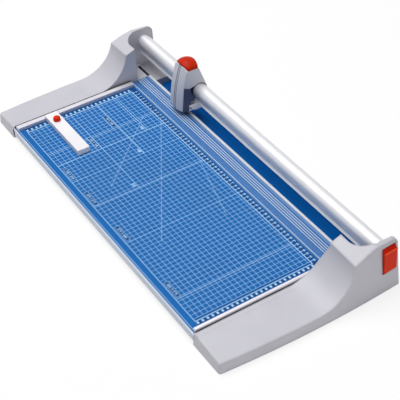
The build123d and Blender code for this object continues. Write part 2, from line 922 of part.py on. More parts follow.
finish(knife_screws, "knife_screws")

with BuildPart() as base_tray:
    with BuildSketch(Plane.YZ):
        with BuildLine():
            Polyline(
                (cut_y - tray_front_lead, block_base),
                (cut_y - tray_front_lead, tray_top),
                (tray_rear_y - sheet, tray_top),
                (tray_rear_y - sheet, tray_top + tray_lip),
                (tray_rear_y, tray_top + tray_lip),
                (tray_rear_y, block_base),
                close=True,
            )
        make_face()
    extrude(amount=tray_half, both=True)

finish(base_tray, "base_tray")

# Clear hold-down strip on two guide pins
strip_depth = strip_rear_y - strip_front_y
with BuildPart() as clamp_strip:
    with BuildSketch(Plane.YZ):
        with Locations((strip_front_y, strip_bottom)):
            Rectangle(strip_depth, strip_thickness, align=(Align.MIN, Align.MIN))
        with Locations(*[(strip_front_y + share * strip_depth, strip_top) for share in rib_shares]):
            Rectangle(rib_width, rib_height, align=(Align.CENTER, Align.MIN))
    extrude(amount=table_half - air, both=True)
    with BuildSketch(Plane.XY.offset(strip_bottom - overrun)):
        with Locations(*bush_places):
            Circle(pin_radius)
    extrude(amount=overrun + pin_sink, mode=Mode.SUBTRACT)

finish(clamp_strip, "clamp_strip")

with BuildPart() as clamp_pins:
    with BuildSketch(Plane.XY.offset(pin_bottom)):
        with Locations(*bush_places):
            Circle(collar_radius)
    extrude(amount=collar_height)
    with BuildSketch(Plane.XY.offset(pin_bottom)):
        with Locations(*bush_places):
            Circle(pin_radius)
    extrude(amount=strip_bottom + pin_sink - pin_bottom)

finish(clamp_pins, "clamp_pins")

with BuildPart() as clamp_bushes:
    with BuildSketch(Plane.XY.offset(table_underside)):
        with Locations(*bush_places):
            Circle(bush_flange_radius)
    extrude(amount=-bush_flange)
    with BuildSketch(Plane.XY.offset(table_underside)):
        with Locations(*bush_places):
            Circle(bush_radius)
    extrude(amount=sheet)
    with BuildSketch(Plane.XY.offset(table_underside - bush_flange - overrun)):
        with Locations(*bush_places):
            Circle(pin_radius + running_gap)
    extrude(amount=2 * overrun + bush_flange + sheet, mode=Mode.SUBTRACT)

finish(clamp_bushes, "clamp_bushes")

with BuildPart() as clamp_springs:
    with BuildSketch(Plane.XY.offset(pin_bottom + collar_height)):
        with Locations(*bush_places):
            Circle(spring_radius)
            Circle(spring_bore, mode=Mode.SUBTRACT)
    extrude(amount=table_underside - bush_flange - pin_bottom - collar_height)

finish(clamp_springs, "clamp_springs")

# Paper stop: a bar that laps over the left fence, clamped by a jaw under its knob
with BuildPart() as stop_bar:
    with BuildSketch(Plane.XY.offset(stop_bottom)):
        with Locations((stop_left, stop_y)):
            Rectangle(stop_length, stop_width, align=(Align.MIN, Align.CENTER))
    extrude(amount=stop_top - stop_bottom)
    fillet(stop_bar.edges().filter_by(Axis.Z), stop_edge)
    chamfer(stop_bar.edges().group_by(Axis.Z)[-1], stop_chamfer)
    with BuildSketch(Plane.XY.offset(stop_bottom - overrun)):
        with Locations((-half_cut + air, stop_y)):
            Rectangle(stop_length, 2 * stop_width, align=(Align.MAX, Align.CENTER))
    extrude(amount=overrun + fence_height, mode=Mode.SUBTRACT)
    with BuildSketch(Plane.XY.offset(stop_bottom - overrun)):
        with Locations((-half_cut + air, stop_y)):
            Rectangle(jaw_length + 2 * air, jaw_width + 2 * seat_gap, align=(Align.MIN, Align.CENTER))
    extrude(amount=overrun + jaw_height + seat_gap, mode=Mode.SUBTRACT)
    with BuildSketch(Plane.XY.offset(stop_bottom)):
        with Locations((knob_x, stop_y)):
            Circle(stop_screw_radius + running_gap)
    extrude(amount=stop_height, mode=Mode.SUBTRACT)

finish(stop_bar, "stop_bar")

with BuildPart() as stop_jaw:
    with BuildSketch(Plane.XY.offset(stop_bottom)):
        with Locations((-half_cut + 2 * air, stop_y)):
            Rectangle(jaw_length, jaw_width, align=(Align.MIN, Align.CENTER))
        with Locations((knob_x, stop_y)):
            Circle(stop_screw_radius + running_gap, mode=Mode.SUBTRACT)
    extrude(amount=jaw_height)

finish(stop_jaw, "stop_jaw")

with BuildPart() as stop_screw:
    with BuildSketch(Plane.XY.offset(stop_bottom + seat_gap)):
        with Locations((knob_x, stop_y)):
            Circle(stop_screw_radius)
    extrude(amount=stop_top - stop_bottom - seat_gap + knob_grip)

finish(stop_screw, "stop_screw")

with BuildPart() as stop_knob:
    with BuildSketch(Plane.XY.offset(stop_top + air)):
        with Locations((knob_x, stop_y)):
            Circle(knob_radius)
    extrude(amount=knob_height)
    fillet(stop_knob.edges().group_by(Axis.Z)[-1], knob_round)
    with BuildSketch(Plane.XY.offset(stop_top)):
        with Locations((knob_x, stop_y)):
            Circle(stop_screw_radius)
    extrude(amount=knob_grip, mode=Mode.SUBTRACT)

finish(stop_knob, "stop_knob")

# Guide rail: a round tube over a narrow channel, plugged and bolted at both ends
with BuildPart() as guide_rail:
    with BuildSketch(Plane.YZ):
        with Locations((rail_y, channel_bottom)):
            Rectangle(channel_width, rail_z - channel_bottom, align=(Align.CENTER, Align.MIN))
        with Locations((rail_y, channel_bottom)):
            Rectangle(
                channel_width - 2 * channel_wall,
                channel_depth,
                align=(Align.CENTER, Align.MIN),
                mode=Mode.SUBTRACT,
            )
        with Locations((rail_y, rail_z)):
            Circle(tube_radius)
            Circle(tube_bore, mode=Mode.SUBTRACT)
        with Locations((channel_front_y, bead_z)):
            Circle(bead_radius)
    extrude(amount=ear_inner, both=True)

finish(guide_rail, "guide_rail")

with BuildPart() as right_rail_plug:
    with BuildSketch(Plane.YZ.offset(ear_inner)):
        with Locations((rail_y, rail_z)):
            Circle(tube_bore)
            Circle(rail_bolt_radius, mode=Mode.SUBTRACT)
    extrude(amount=-plug_length)

with BuildPart() as left_rail_plug:
    mirror(right_rail_plug.part, about=Plane.YZ)

finish(right_rail_plug, "right_rail_plug")
finish(left_rail_plug, "left_rail_plug")

with BuildPart() as rail_bolts:
    with BuildSketch(Plane.YZ.offset(ear_inner + block_wall)):
        with Locations((rail_y, rail_z)):
            RegularPolygon(rail_bolt_head, hex_sides)
    extrude(amount=rail_bolt_head_height)
    with BuildSketch(Plane.YZ.offset(ear_inner + block_wall)):
        with Locations((rail_y, rail_z)):
            Circle(rail_bolt_radius)
    extrude(amount=-block_wall - plug_length + overrun)
    mirror(about=Plane.YZ)

finish(rail_bolts, "rail_bolts")

# Cutting head. Its form is the side outline carried across, under a crowned roof, inside a leaning
# barrel that rounds the nose.
def from_cut(lead, rise):
    """Place in the side view, from a lead before the cut line and a rise above the table."""
    return (cut_y - lead, table_height + rise)


def head_barrel(inset):
    """Leaning barrel round the cutting head, drawn in by an inset."""
    low = from_cut(prow_low_lead - inset, nose_rise)
    belly = from_cut(prow_belly_lead - inset, prow_belly_rise)
    brow = from_cut(brow_lead - inset, brow_rise)
    low_end = (low[0] - prow_reach * prow_lean_share, low[1] - prow_reach)
    high_end = (brow[0] + prow_reach * prow_lean_share, brow[1] + prow_reach)
    axis_low = from_cut(prow_low_lead - prow_radius, nose_rise - prow_reach)
    axis_rise = high_end[1] - axis_low[1]
    axis_high = (axis_low[0] + axis_rise * prow_lean_share, high_end[1])
    with BuildPart() as barrel:
        with BuildSketch(Plane.YZ.offset(head_x)):
            with BuildLine():
                Line(low_end, low)
                ThreePointArc(low, belly, brow)
                Polyline(brow, high_end, axis_high, axis_low, low_end)
            make_face()
        revolve(axis=Axis((head_x, *axis_low), (0, prow_lean_share, 1)))
    return barrel


def roof(half, side_rise, top_rise):
    """Closed outline in the front view, with an arched top."""
    with BuildSketch(Plane.XZ.offset(-cut_y)) as outline:
        with BuildLine():
            ThreePointArc(
                (head_x - half, table_height + side_rise),
                (head_x, table_height + top_rise),
                (head_x + half, table_height + side_rise),
            )
            Polyline(
                (head_x - half, table_height + side_rise),
                (head_x - half, table_height),
                (head_x + half, table_height),
                (head_x + half, table_height + side_rise),
            )
        make_face()
    return outline


def head_form(inset):
    """Form of the cutting head, drawn in on all sides by an inset."""
    front_lead = prow_low_lead + prow_reach
    front_roof = brow_rise + (front_lead - brow_lead) * brow_fall_share
    crown = roof(head_half, crown_side_rise - inset, crown_rise - inset)
    barrel = head_barrel(inset)
    with BuildPart() as form:
        with BuildSketch(Plane.YZ.offset(head_x)):
            with BuildLine():
                Polyline(
                    from_cut(front_lead, nose_rise),
                    from_cut(nose_rear_lead, nose_rise),
                    from_cut(nose_neck_lead, skirt_front_rise),
                    from_cut(skirt_tip_lead, skirt_tip_rise),
                    from_cut(-skirt_lag, skirt_rear_rise),
                    from_cut(-skirt_lag, head_rear_low),
                    from_cut(-head_lag, head_rear_low),
                    from_cut(-head_lag, head_rear_high),
                    from_cut(-head_knee_lag, head_knee_rise),
                    from_cut(-rim_lag, rim_rise),
                    from_cut(front_lead, front_roof),
                    close=True,
                )
            make_face()
            offset(amount=-inset, kind=Kind.INTERSECTION, mode=Mode.REPLACE)
        extrude(amount=head_half - inset, both=True)
        with BuildSketch(Plane.XZ.offset(-cut_y)):
            add(crown.sketch_local)
        extrude(amount=machine_depth, both=True, mode=Mode.INTERSECT)
        add(barrel.part, mode=Mode.INTERSECT)
    return form


head_outer = head_form(0)
head_inner = head_form(head_wall)
spine_form = head_form(spine_sink)
tenon_depth = tenon_front_lead - carrier_rear_gap
tenon_y = cut_y - (tenon_front_lead + carrier_rear_gap) / 2
shell_screw_place = from_cut(-shell_screw_lag, shell_screw_rise)

with BuildPart() as tenon_slot:
    with BuildSketch(Plane.XY.offset(table_height + carrier_neck_rise)):
        with Locations((head_x, tenon_y)):
            Rectangle(tenon_width + 2 * seat_gap, tenon_depth + 2 * seat_gap)
    extrude(amount=tenon_rise + seat_gap - carrier_neck_rise)

with BuildPart() as head_shell_right:
    add(head_outer.part)
    add(head_inner.part, mode=Mode.SUBTRACT)
    with BuildSketch(Plane.YZ.offset(head_x)):
        with Locations((rail_y, rail_z)):
            Circle(tunnel_radius + head_wall)
    extrude(amount=head_half - head_wall)
    with BuildSketch(Plane.YZ.offset(head_x)):
        with Locations(shell_screw_place):
            Circle(shell_boss_radius)
    extrude(amount=head_half - head_wall)
    add(head_outer.part, mode=Mode.INTERSECT)
    with BuildSketch(Plane.YZ.offset(head_x - head_width)):
        with Locations((rail_y, rail_z)):
            Circle(tunnel_radius)
    extrude(amount=2 * head_width, mode=Mode.SUBTRACT)
    add(tenon_slot.part, mode=Mode.SUBTRACT)
    with BuildSketch(Plane.YZ.offset(head_x)):
        with Locations(shell_screw_place):
            Circle(head_screw_radius)
    extrude(amount=spine_half + shell_screw_bite, mode=Mode.SUBTRACT)
    split(bisect_by=Plane.YZ.offset(head_x + spine_half), keep=Keep.TOP)

finish(head_shell_right, "head_shell_right")

with BuildPart() as head_shell_left:
    mirror(head_shell_right.part, about=Plane.YZ.offset(head_x))
    with BuildSketch(Plane.YZ.offset(head_x - head_width)):
        with Locations(shell_screw_place):
            Circle(head_screw_radius + seat_gap)
    extrude(amount=head_width, mode=Mode.SUBTRACT)
    with BuildSketch(Plane.YZ.offset(head_x - head_half)):
        with Locations(shell_screw_place):
            Circle(head_screw_head + seat_gap)
    extrude(amount=head_screw_head_height, mode=Mode.SUBTRACT)

finish(head_shell_left, "head_shell_left")

with BuildPart() as head_spine:
    add(spine_form.part)
    with BuildSketch(Plane.XY):
        with Locations((head_x, cut_y)):
            Rectangle(spine_width, machine_depth)
    extrude(amount=2 * brow_rise, mode=Mode.INTERSECT)
    with BuildSketch(Plane.YZ.offset(head_x)):
        with Locations((rail_y, rail_z)):
            Circle(tunnel_radius)
        with Locations(shell_screw_place):
            Circle(head_screw_radius + seat_gap)
    extrude(amount=spine_width, both=True, mode=Mode.SUBTRACT)
    add(tenon_slot.part, mode=Mode.SUBTRACT)

finish(head_spine, "head_spine")

# Red cap: a domed lid, crowned both ways, that sits on the roof of the head
cap_half = cap_width / 2
cap_middle_y = cut_y + (cap_rear_lag - cap_front_lead) / 2
cap_axis_z = table_height + cap_top_rise - cap_crown_radius

with BuildPart() as head_cap:
    with BuildSketch(Plane.XY.offset(table_height)) as cap_plan:
        with BuildLine():
            ThreePointArc(
                (head_x - cap_half, cut_y - cap_side_lead),
                (head_x, cut_y - cap_front_lead),
                (head_x + cap_half, cut_y - cap_side_lead),
            )
            Line(
                (head_x + cap_half, cut_y - cap_side_lead),
                (head_x + cap_half, cut_y + cap_rear_side_lag),
            )
            ThreePointArc(
                (head_x + cap_half, cut_y + cap_rear_side_lag),
                (head_x, cut_y + cap_rear_lag),
                (head_x - cap_half, cut_y + cap_rear_side_lag),
            )
            Line(
                (head_x - cap_half, cut_y + cap_rear_side_lag),
                (head_x - cap_half, cut_y - cap_side_lead),
            )
        make_face()
        fillet(cap_plan.vertices(), cap_corner)
    extrude(amount=2 * cap_top_rise)
    with BuildSketch(Plane.XZ.offset(-cap_middle_y)):
        with BuildLine():
            ThreePointArc(
                (head_x - head_half, table_height + cap_side_rise),
                (head_x, table_height + cap_top_rise),
                (head_x + head_half, table_height + cap_side_rise),
            )
            Polyline(
                (head_x - head_half, table_height + cap_side_rise),
                (head_x - head_half, cap_axis_z),
                (head_x + head_half, cap_axis_z),
                (head_x + head_half, table_height + cap_side_rise),
            )
        make_face()
    revolve(axis=Axis((head_x, cap_middle_y, cap_axis_z), (1, 0, 0)), mode=Mode.INTERSECT)
    cap_rim = head_cap.edges().filter_by(lambda edge: edge.center().Z > cap_axis_z)
    fillet(cap_rim.filter_by(Axis.Z, reverse=True), cap_edge)
    add(head_outer.part, mode=Mode.SUBTRACT)
    with BuildSketch(Plane.XY):
        with Locations((head_x, cut_y)):
            Rectangle(machine_depth, machine_depth)
    extrude(amount=table_height + skirt_front_rise, mode=Mode.SUBTRACT)

finish(head_cap, "head_cap")

# Plastic bushes between the head and the rail, open below for the channel
rail_bush_end = head_x + head_half - rail_bush_inset

with BuildPart() as right_rail_bush:
    with BuildSketch(Plane.YZ.offset(rail_bush_end)):
        with Locations((rail_y, rail_z)):
            Circle(tunnel_radius)
            Circle(tube_radius + running_gap, mode=Mode.SUBTRACT)
        with Locations((rail_y, rail_z - bush_drop)):
            Rectangle(
                2 * tunnel_radius,
                2 * tunnel_radius,
                align=(Align.CENTER, Align.MAX),
                mode=Mode.SUBTRACT,
            )
    extrude(amount=-rail_bush_length)

with BuildPart() as left_rail_bush:
    mirror(right_rail_bush.part, about=Plane.YZ.offset(head_x))

finish(right_rail_bush, "right_rail_bush")
finish(left_rail_bush, "left_rail_bush")

# Blade carrier: hangs from the head on a tenon, holds the blade's axle and flanks the blade with two wings
with BuildPart() as blade_carrier:
    with BuildSketch(Plane.YZ.offset(head_x)):
        with BuildLine():
            Polyline(
                from_cut(nose_rear_lead - seat_gap, carrier_rise),
                from_cut(carrier_rear_gap, carrier_rise),
                from_cut(carrier_rear_gap, carrier_neck_rise),
                from_cut(-carrier_neck_lag, carrier_neck_rise),
                from_cut(-carrier_neck_lag, skirt_tip_rise - carrier_top_gap),
                from_cut(skirt_tip_lead, skirt_tip_rise - carrier_top_gap),
                from_cut(nose_neck_lead - seat_gap, skirt_front_rise - carrier_top_gap),
                from_cut(nose_rear_lead - seat_gap, nose_rise),
                close=True,
            )
        make_face()
    extrude(amount=carrier_width / 2, both=True)
    fillet(blade_carrier.edges().filter_by(Axis.Z).group_by(Axis.Y)[-1], carrier_edge)
    with BuildSketch(Plane.XY.offset(table_height + carrier_neck_rise)):
        with Locations((head_x, tenon_y)):
            Rectangle(tenon_width, tenon_depth)
    extrude(amount=tenon_rise - carrier_neck_rise)
    for side in (-1, 1):
        with BuildSketch(Plane.YZ.offset(head_x + side * carrier_width / 2)):
            with BuildLine():
                Polyline(
                    from_cut(cheek_front_lead, wing_low_rise),
                    from_cut(-wing_lag, wing_low_rise),
                    from_cut(-wing_lag, wing_knee_rise),
                    from_cut(-carrier_neck_lag, wing_high_rise),
                    from_cut(cheek_front_lead, wing_high_rise),
                    close=True,
                )
            make_face()
        extrude(amount=-side * wing_thickness)
    with BuildSketch(Plane.XZ.offset(-carrier_rear_y)):
        with Locations((head_x, axle_z)):
            Circle(axle_radius)
    extrude(amount=axle_lead, mode=Mode.SUBTRACT)
    with BuildSketch(Plane.YZ.offset(head_x + carrier_width / 2)):
        with Locations(from_cut(cheek_screw_lead, cheek_screw_rise)):
            Circle(head_screw_radius)
    extrude(amount=-head_screw_length, mode=Mode.SUBTRACT)
    with BuildSketch(Plane.YZ.offset(head_x - carrier_width / 2)):
        with Locations(from_cut(cheek_screw_lead, cheek_screw_rise)):
            Circle(head_screw_radius)
    extrude(amount=head_screw_length, mode=Mode.SUBTRACT)

finish(blade_carrier, "blade_carrier")

# Guard behind the blade: a shoe that rises to its tail, with two cheeks screwed to the carrier
guard_low = table_height + guard_rise
guard_top = table_height + guard_top_rise
guard_depth = guard_rear_y - guard_front_y
guard_heel = from_cut(-guard_heel_lag, guard_rise)
guard_tip = from_cut(-guard_rear_lag, guard_tip_rise)
cheek_outer = guard_width / 2
nut_seat_y = guard_front_y + guard_wall

with BuildPart() as blade_guard:
    with BuildSketch(Plane.XZ.offset(-guard_rear_y)) as guard_section:
        with Locations((head_x, guard_low)):
            Rectangle(guard_width, guard_top - guard_low, align=(Align.CENTER, Align.MIN))
        fillet(guard_section.vertices().group_by(Axis.Y)[0], guard_round)
    extrude(amount=guard_depth)
    fillet(blade_guard.faces().sort_by(Axis.Y)[-1].edges().filter_by(Axis.Z), guard_wall)
    with BuildSketch(Plane.YZ.offset(head_x)):
        with BuildLine():
            TangentArc(guard_heel, guard_tip, tangent=(1, 0))
            Polyline(
                guard_tip,
                from_cut(-guard_rear_lag, guard_tail_rise),
                from_cut(-guard_slope_lag, guard_top_rise),
                from_cut(-guard_front_lag, guard_top_rise),
                from_cut(-guard_front_lag, guard_rise),
                guard_heel,
            )
        make_face()
    extrude(amount=head_width, both=True, mode=Mode.INTERSECT)
    with BuildSketch(Plane.YZ.offset(head_x)):
        with BuildLine():
            Polyline(
                from_cut(-guard_front_lag - guard_wall, guard_rise + guard_wall),
                from_cut(-guard_heel_lag, guard_rise + guard_wall),
                from_cut(guard_wall - guard_rear_lag, guard_tip_rise + guard_wall),
                from_cut(guard_wall - guard_rear_lag, 2 * guard_top_rise),
                from_cut(-guard_front_lag - guard_wall, 2 * guard_top_rise),
                close=True,
            )
        make_face()
    extrude(amount=cheek_outer - guard_round, both=True, mode=Mode.SUBTRACT)
    with BuildSketch(Plane.XY.offset(table_height + cheek_low_rise)):
        with Locations((head_x - cheek_outer, guard_front_y)):
            Rectangle(cheek_thickness, cheek_front_lead + guard_front_lag, align=(Align.MIN, Align.MAX))
        with Locations((head_x + cheek_outer, guard_front_y)):
            Rectangle(cheek_thickness, cheek_front_lead + guard_front_lag, align=(Align.MAX, Align.MAX))
    extrude(amount=guard_top_rise - cheek_low_rise)
    with BuildSketch(Plane.YZ.offset(head_x)):
        with Locations(from_cut(cheek_screw_lead, cheek_screw_rise)):
            Circle(head_screw_radius + seat_gap)
    extrude(amount=head_width, both=True, mode=Mode.SUBTRACT)
    with BuildSketch(Plane.XZ.offset(-guard_rear_y - overrun)):
        with Locations((head_x, axle_z)):
            Circle(axle_radius)
    extrude(amount=guard_depth + 2 * overrun, mode=Mode.SUBTRACT)

finish(blade_guard, "blade_guard")

# Circular blade on its hub, turning on a fixed axle
with BuildPart() as blade:
    with BuildSketch(Plane.XZ.offset(-blade_front_y)):
        with Locations((head_x, axle_z)):
            Circle(blade_radius)
    extrude(amount=-blade_thickness)
    chamfer(blade.edges().group_by(Axis.Y)[-1], blade_bevel, 2 * blade_bevel)
    with BuildSketch(Plane.XZ.offset(-blade_front_y + overrun)):
        with Locations((head_x, axle_z)):
            Circle(hub_radius)
    extrude(amount=-blade_thickness - 2 * overrun, mode=Mode.SUBTRACT)

finish(blade, "blade")

with BuildPart() as blade_hub:
    with BuildSketch(Plane.XZ.offset(-blade_front_y + hub_front)):
        with Locations((head_x, axle_z)):
            Circle(hub_radius)
    extrude(amount=-hub_front - blade_thickness - hub_rear)
    with BuildSketch(Plane.XZ.offset(-blade_rear_y)):
        with Locations((head_x, axle_z)):
            Circle(hub_flange_radius)
    extrude(amount=-hub_rear)
    with BuildSketch(Plane.XZ.offset(-blade_front_y + overrun)):
        with Locations((head_x, axle_z)):
            Circle(axle_radius + running_gap)
    extrude(amount=-blade_thickness - hub_rear - 2 * overrun, mode=Mode.SUBTRACT)

finish(blade_hub, "blade_hub")

with BuildPart() as blade_axle:
    with BuildSketch(Plane.XZ.offset(-nut_seat_y - axle_nut_height)):
        with Locations((head_x, axle_z)):
            Circle(axle_radius)
    extrude(amount=nut_seat_y + axle_nut_height - carrier_rear_y + axle_lead)

finish(blade_axle, "blade_axle")

with BuildPart() as axle_nut:
    with BuildSketch(Plane.XZ.offset(-nut_seat_y)):
        with Locations((head_x, axle_z)):
            RegularPolygon(axle_nut_radius, hex_sides)
            Circle(axle_radius, mode=Mode.SUBTRACT)
    extrude(amount=-axle_nut_height)

finish(axle_nut, "axle_nut")

with BuildPart() as spring_washer:
    with BuildSketch(Plane.XZ.offset(-guard_front_y)):
        with Locations((head_x, axle_z)):
            Circle(washer_radius)
            Circle(axle_radius, mode=Mode.SUBTRACT)
    extrude(amount=washer_thickness)

finish(spring_washer, "spring_washer")

# Head screws: one through each cheek, one through both shells
with BuildPart() as head_screws:
    with BuildSketch(Plane.YZ.offset(head_x + cheek_outer)):
        with Locations(from_cut(cheek_screw_lead, cheek_screw_rise)):
            Circle(head_screw_head)
    extrude(amount=head_screw_head_height)
    with BuildSketch(Plane.YZ.offset(head_x + cheek_outer)):
        with Locations(from_cut(cheek_screw_lead, cheek_screw_rise)):
            Circle(head_screw_radius)
    extrude(amount=-head_screw_length)
    mirror(about=Plane.YZ.offset(head_x))
    with BuildSketch(Plane.YZ.offset(head_x - head_half)):
        with Locations(shell_screw_place):
            Circle(head_screw_head)
    extrude(amount=head_screw_head_height)
    with BuildSketch(Plane.YZ.offset(head_x - head_half)):
        with Locations(shell_screw_place):
            Circle(head_screw_radius)
    extrude(amount=head_half + spine_half + shell_screw_bite)

finish(head_screws, "head_screws")
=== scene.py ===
"""Looks of a desk-top rotary paper trimmer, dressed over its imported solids."""

import logging
import math
from dataclasses import dataclass
from enum import Enum, IntEnum
from functools import cached_property
from typing import Iterable, Mapping, Sequence

import bmesh
import bpy
from mathutils import Matrix, Vector


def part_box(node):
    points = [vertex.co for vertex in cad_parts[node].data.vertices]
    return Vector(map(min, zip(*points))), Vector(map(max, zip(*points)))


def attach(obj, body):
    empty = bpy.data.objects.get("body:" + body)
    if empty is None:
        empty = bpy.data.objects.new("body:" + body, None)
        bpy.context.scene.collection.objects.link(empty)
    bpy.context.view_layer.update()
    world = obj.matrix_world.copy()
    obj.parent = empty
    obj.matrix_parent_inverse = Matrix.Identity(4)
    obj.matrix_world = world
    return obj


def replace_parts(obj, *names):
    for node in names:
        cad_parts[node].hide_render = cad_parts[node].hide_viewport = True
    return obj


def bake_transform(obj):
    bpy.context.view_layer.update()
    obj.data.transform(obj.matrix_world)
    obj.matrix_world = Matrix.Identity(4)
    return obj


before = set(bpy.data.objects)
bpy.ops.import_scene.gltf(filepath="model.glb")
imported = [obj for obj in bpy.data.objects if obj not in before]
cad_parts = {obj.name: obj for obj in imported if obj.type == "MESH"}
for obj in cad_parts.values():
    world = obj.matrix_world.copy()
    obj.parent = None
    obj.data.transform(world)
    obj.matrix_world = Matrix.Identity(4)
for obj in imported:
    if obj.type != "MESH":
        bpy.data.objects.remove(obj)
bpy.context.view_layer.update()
LOG = logging.getLogger("trimmer")
MM = 0.001
MERGE_REACH = 0.01 * MM
CUT_INSET = 0.75 * MM

Colour = tuple[float, float, float, float]
Pair = tuple[float, float]
Triple = tuple[float, float, float]
Form = bmesh.types.BMesh
Piece = bpy.types.Object
Socket = bpy.types.NodeSocket

WHITE: Colour = (1.0, 1.0, 1.0, 1.0)


class Axis(IntEnum):
    """Axis of the frame, by its place in a vector."""

    X = 0
    Y = 1
    Z = 2


def tint(*levels: int) -> Colour:
    """Turn a screen colour into the linear one that shaders take.

    Args:
        levels: Red, green and blue, each 0 to 255.

    Returns:
        Linear colour with full alpha.
    """
    # The usual screen curve has a straight foot, and a power above it.
    shares = [level / 255 for level in levels]
    linear = [v / 12.92 if v <= 0.04045 else ((v + 0.055) / 1.055) ** 2.4 for v in shares]
    return (*linear, 1.0)


class NodeBoard:
    """A node tree, with short ways to add nodes and link them."""

    def __init__(self, tree: bpy.types.NodeTree) -> None:
        """Take over a tree and empty it."""
        self.tree = tree
        self.tree.nodes.clear()

    def feed(self, node: bpy.types.Node, *first: object, **named: object) -> None:
        """Link outputs to inputs of a node, or set plain values on them.

        Args:
            node: Node to feed.
            first: Sources for its first inputs, in order.
            named: Sources for other inputs by name, with underscores for spaces.
        """
        pairs = [*zip(node.inputs, first)]
        pairs += [(node.inputs[name.replace("_", " ")], source) for name, source in named.items()]
        for socket, source in pairs:
            if isinstance(source, Socket):
                self.tree.links.new(source, socket)
            else:
                socket.default_value = source

    def node(self, kind: str, *first: object, **named: object) -> bpy.types.Node:
        """Add a node and feed it.

        Args:
            kind: Full name of the node type.
            first: Sources for its first inputs, in order.
            named: Sources for other inputs by name, with underscores for spaces.

        Returns:
            The node.
        """
        node = self.tree.nodes.new(kind)
        self.feed(node, *first, **named)
        return node

    def sum(self, operation: str, *terms: object) -> Socket:
        """Work out one number from others.

        Args:
            operation: Name of the operation.
            terms: Sockets or plain values that go into it.

        Returns:
            The result.
        """
        node = self.node("ShaderNodeMath")
        node.operation = operation
        self.feed(node, *terms)
        return node.outputs[0]


@dataclass(frozen=True)
class Noise:
    """Noise on object coordinates: blotches to a metre, octaves of detail, and stretch for streaks."""

    per_metre: float
    detail: float = 3.0
    stretch: Triple = (1.0, 1.0, 1.0)


Noises = tuple[Noise | None, Noise | None, Noise | None]


class ShaderTree(NodeBoard):
    """A material with one main shader, and small helpers for the noises that feed it."""

    noise_low = 0.3
    noise_high = 0.7
    edge_samples = 6

    def __init__(self, name: str) -> None:
        """Start an empty material.

        Args:
            name: Name of the material.
        """
        self.material = bpy.data.materials.new(name)
        self.material.use_nodes = True
        super().__init__(self.material.node_tree)
        self.surface = self.node("ShaderNodeBsdfPrincipled")
        self.node("ShaderNodeOutputMaterial", Surface=self.surface.outputs["BSDF"])
        self.place = self.node("ShaderNodeTexCoord").outputs["Object"]

    def lay(self, noise: Noise) -> Socket:
        """Lay a noise on object coordinates."""
        place = self.node("ShaderNodeMapping", Vector=self.place, Scale=noise.stretch).outputs["Vector"]
        node = self.node("ShaderNodeTexNoise", Vector=place, Scale=noise.per_metre, Detail=noise.detail)
        return node.outputs["Fac"]

    def span(self, noise: Noise, low: float, high: float) -> Socket:
        """Lay a noise and spread its middle over a range of values."""
        ends = {"From_Min": self.noise_low, "From_Max": self.noise_high, "To_Min": low, "To_Max": high}
        return self.node("ShaderNodeMapRange", Value=self.lay(noise), **ends).outputs["Result"]

    def blend(self, factor: Socket, low: Colour, high: Colour) -> Socket:
        """Blend two colours by a value.

        Args:
            factor: Value from 0 to 1.
            low: Colour at 0.
            high: Colour at 1.

        Returns:
            The blended colour.
        """
        node = self.node("ShaderNodeMix", Factor=factor)
        node.data_type = "RGBA"
        ends = {"A_Color": low, "B_Color": high}
        for socket in node.inputs:
            if socket.identifier in ends:
                socket.default_value = ends[socket.identifier]
        return next(socket for socket in node.outputs if socket.identifier == "Result_Color")

    def relief(self, noise: Noise, share: float, depth: float, edge: float) -> Socket:
        """Raise the surface by a noise, and soften its edges.

        Args:
            noise: Noise to raise by.
            share: Share of the relief that shows.
            depth: Depth of the relief in metres.
            edge: Radius in metres that sharp edges seem to have.

        Returns:
            The way that the surface faces.
        """
        bump = self.node("ShaderNodeBump", Strength=share, Distance=depth, Height=self.lay(noise))
        if edge > 0:
            rounding = self.node("ShaderNodeBevel", Radius=edge)
            rounding.samples = self.edge_samples
            self.feed(bump, Normal=rounding.outputs["Normal"])
        return bump.outputs["Normal"]


@dataclass(frozen=True)
class Finish:
    """A finish in three layers, which each have a noise or are plain: tone, gloss and relief."""

    name: str
    colour: Colour
    roughness: float = 0.5
    rub_spread: float = 0.06
    tone_share: float = 0.93
    relief_share: float = 0.25
    relief_depth: float = 0.05 * MM
    edge: float = 1.2 * MM
    gloss: float = 0.5
    metal: float = 0.0
    veil: float = 1.0
    layers: Noises = (None, None, None)

    @property
    def noises(self) -> Noises:
        """Noise of the tone, of the gloss and of the relief."""
        return self.layers

    def paint(self, tree: ShaderTree) -> Socket | Colour:
        """Mix the colour with a darker tone of its own.

        Args:
            tree: Material to paint.

        Returns:
            The colour, as a socket if it is mixed.
        """
        tone = self.noises[0]
        if tone is None:
            return self.colour
        darker = (*(level * self.tone_share for level in self.colour[:3]), self.colour[3])
        return tree.blend(tree.span(tone, 0.0, 1.0), darker, self.colour)

    @cached_property
    def material(self) -> bpy.types.Material:
        """Material of the finish, built when it is first asked for.

        Returns:
            The material.
        """
        tree = ShaderTree(self.name)
        _, rubs, grain = self.noises
        plain = {"Specular_IOR_Level": self.gloss, "Metallic": self.metal, "Alpha": self.veil}
        tree.feed(tree.surface, Base_Color=self.paint(tree), Roughness=self.roughness, **plain)
        if rubs:
            ends = (self.roughness - self.rub_spread, self.roughness + self.rub_spread)
            tree.feed(tree.surface, Roughness=tree.span(rubs, *ends))
        if grain:
            raised = tree.relief(grain, self.relief_share, self.relief_depth, self.edge)
            tree.feed(tree.surface, Normal=raised)
        return tree.material


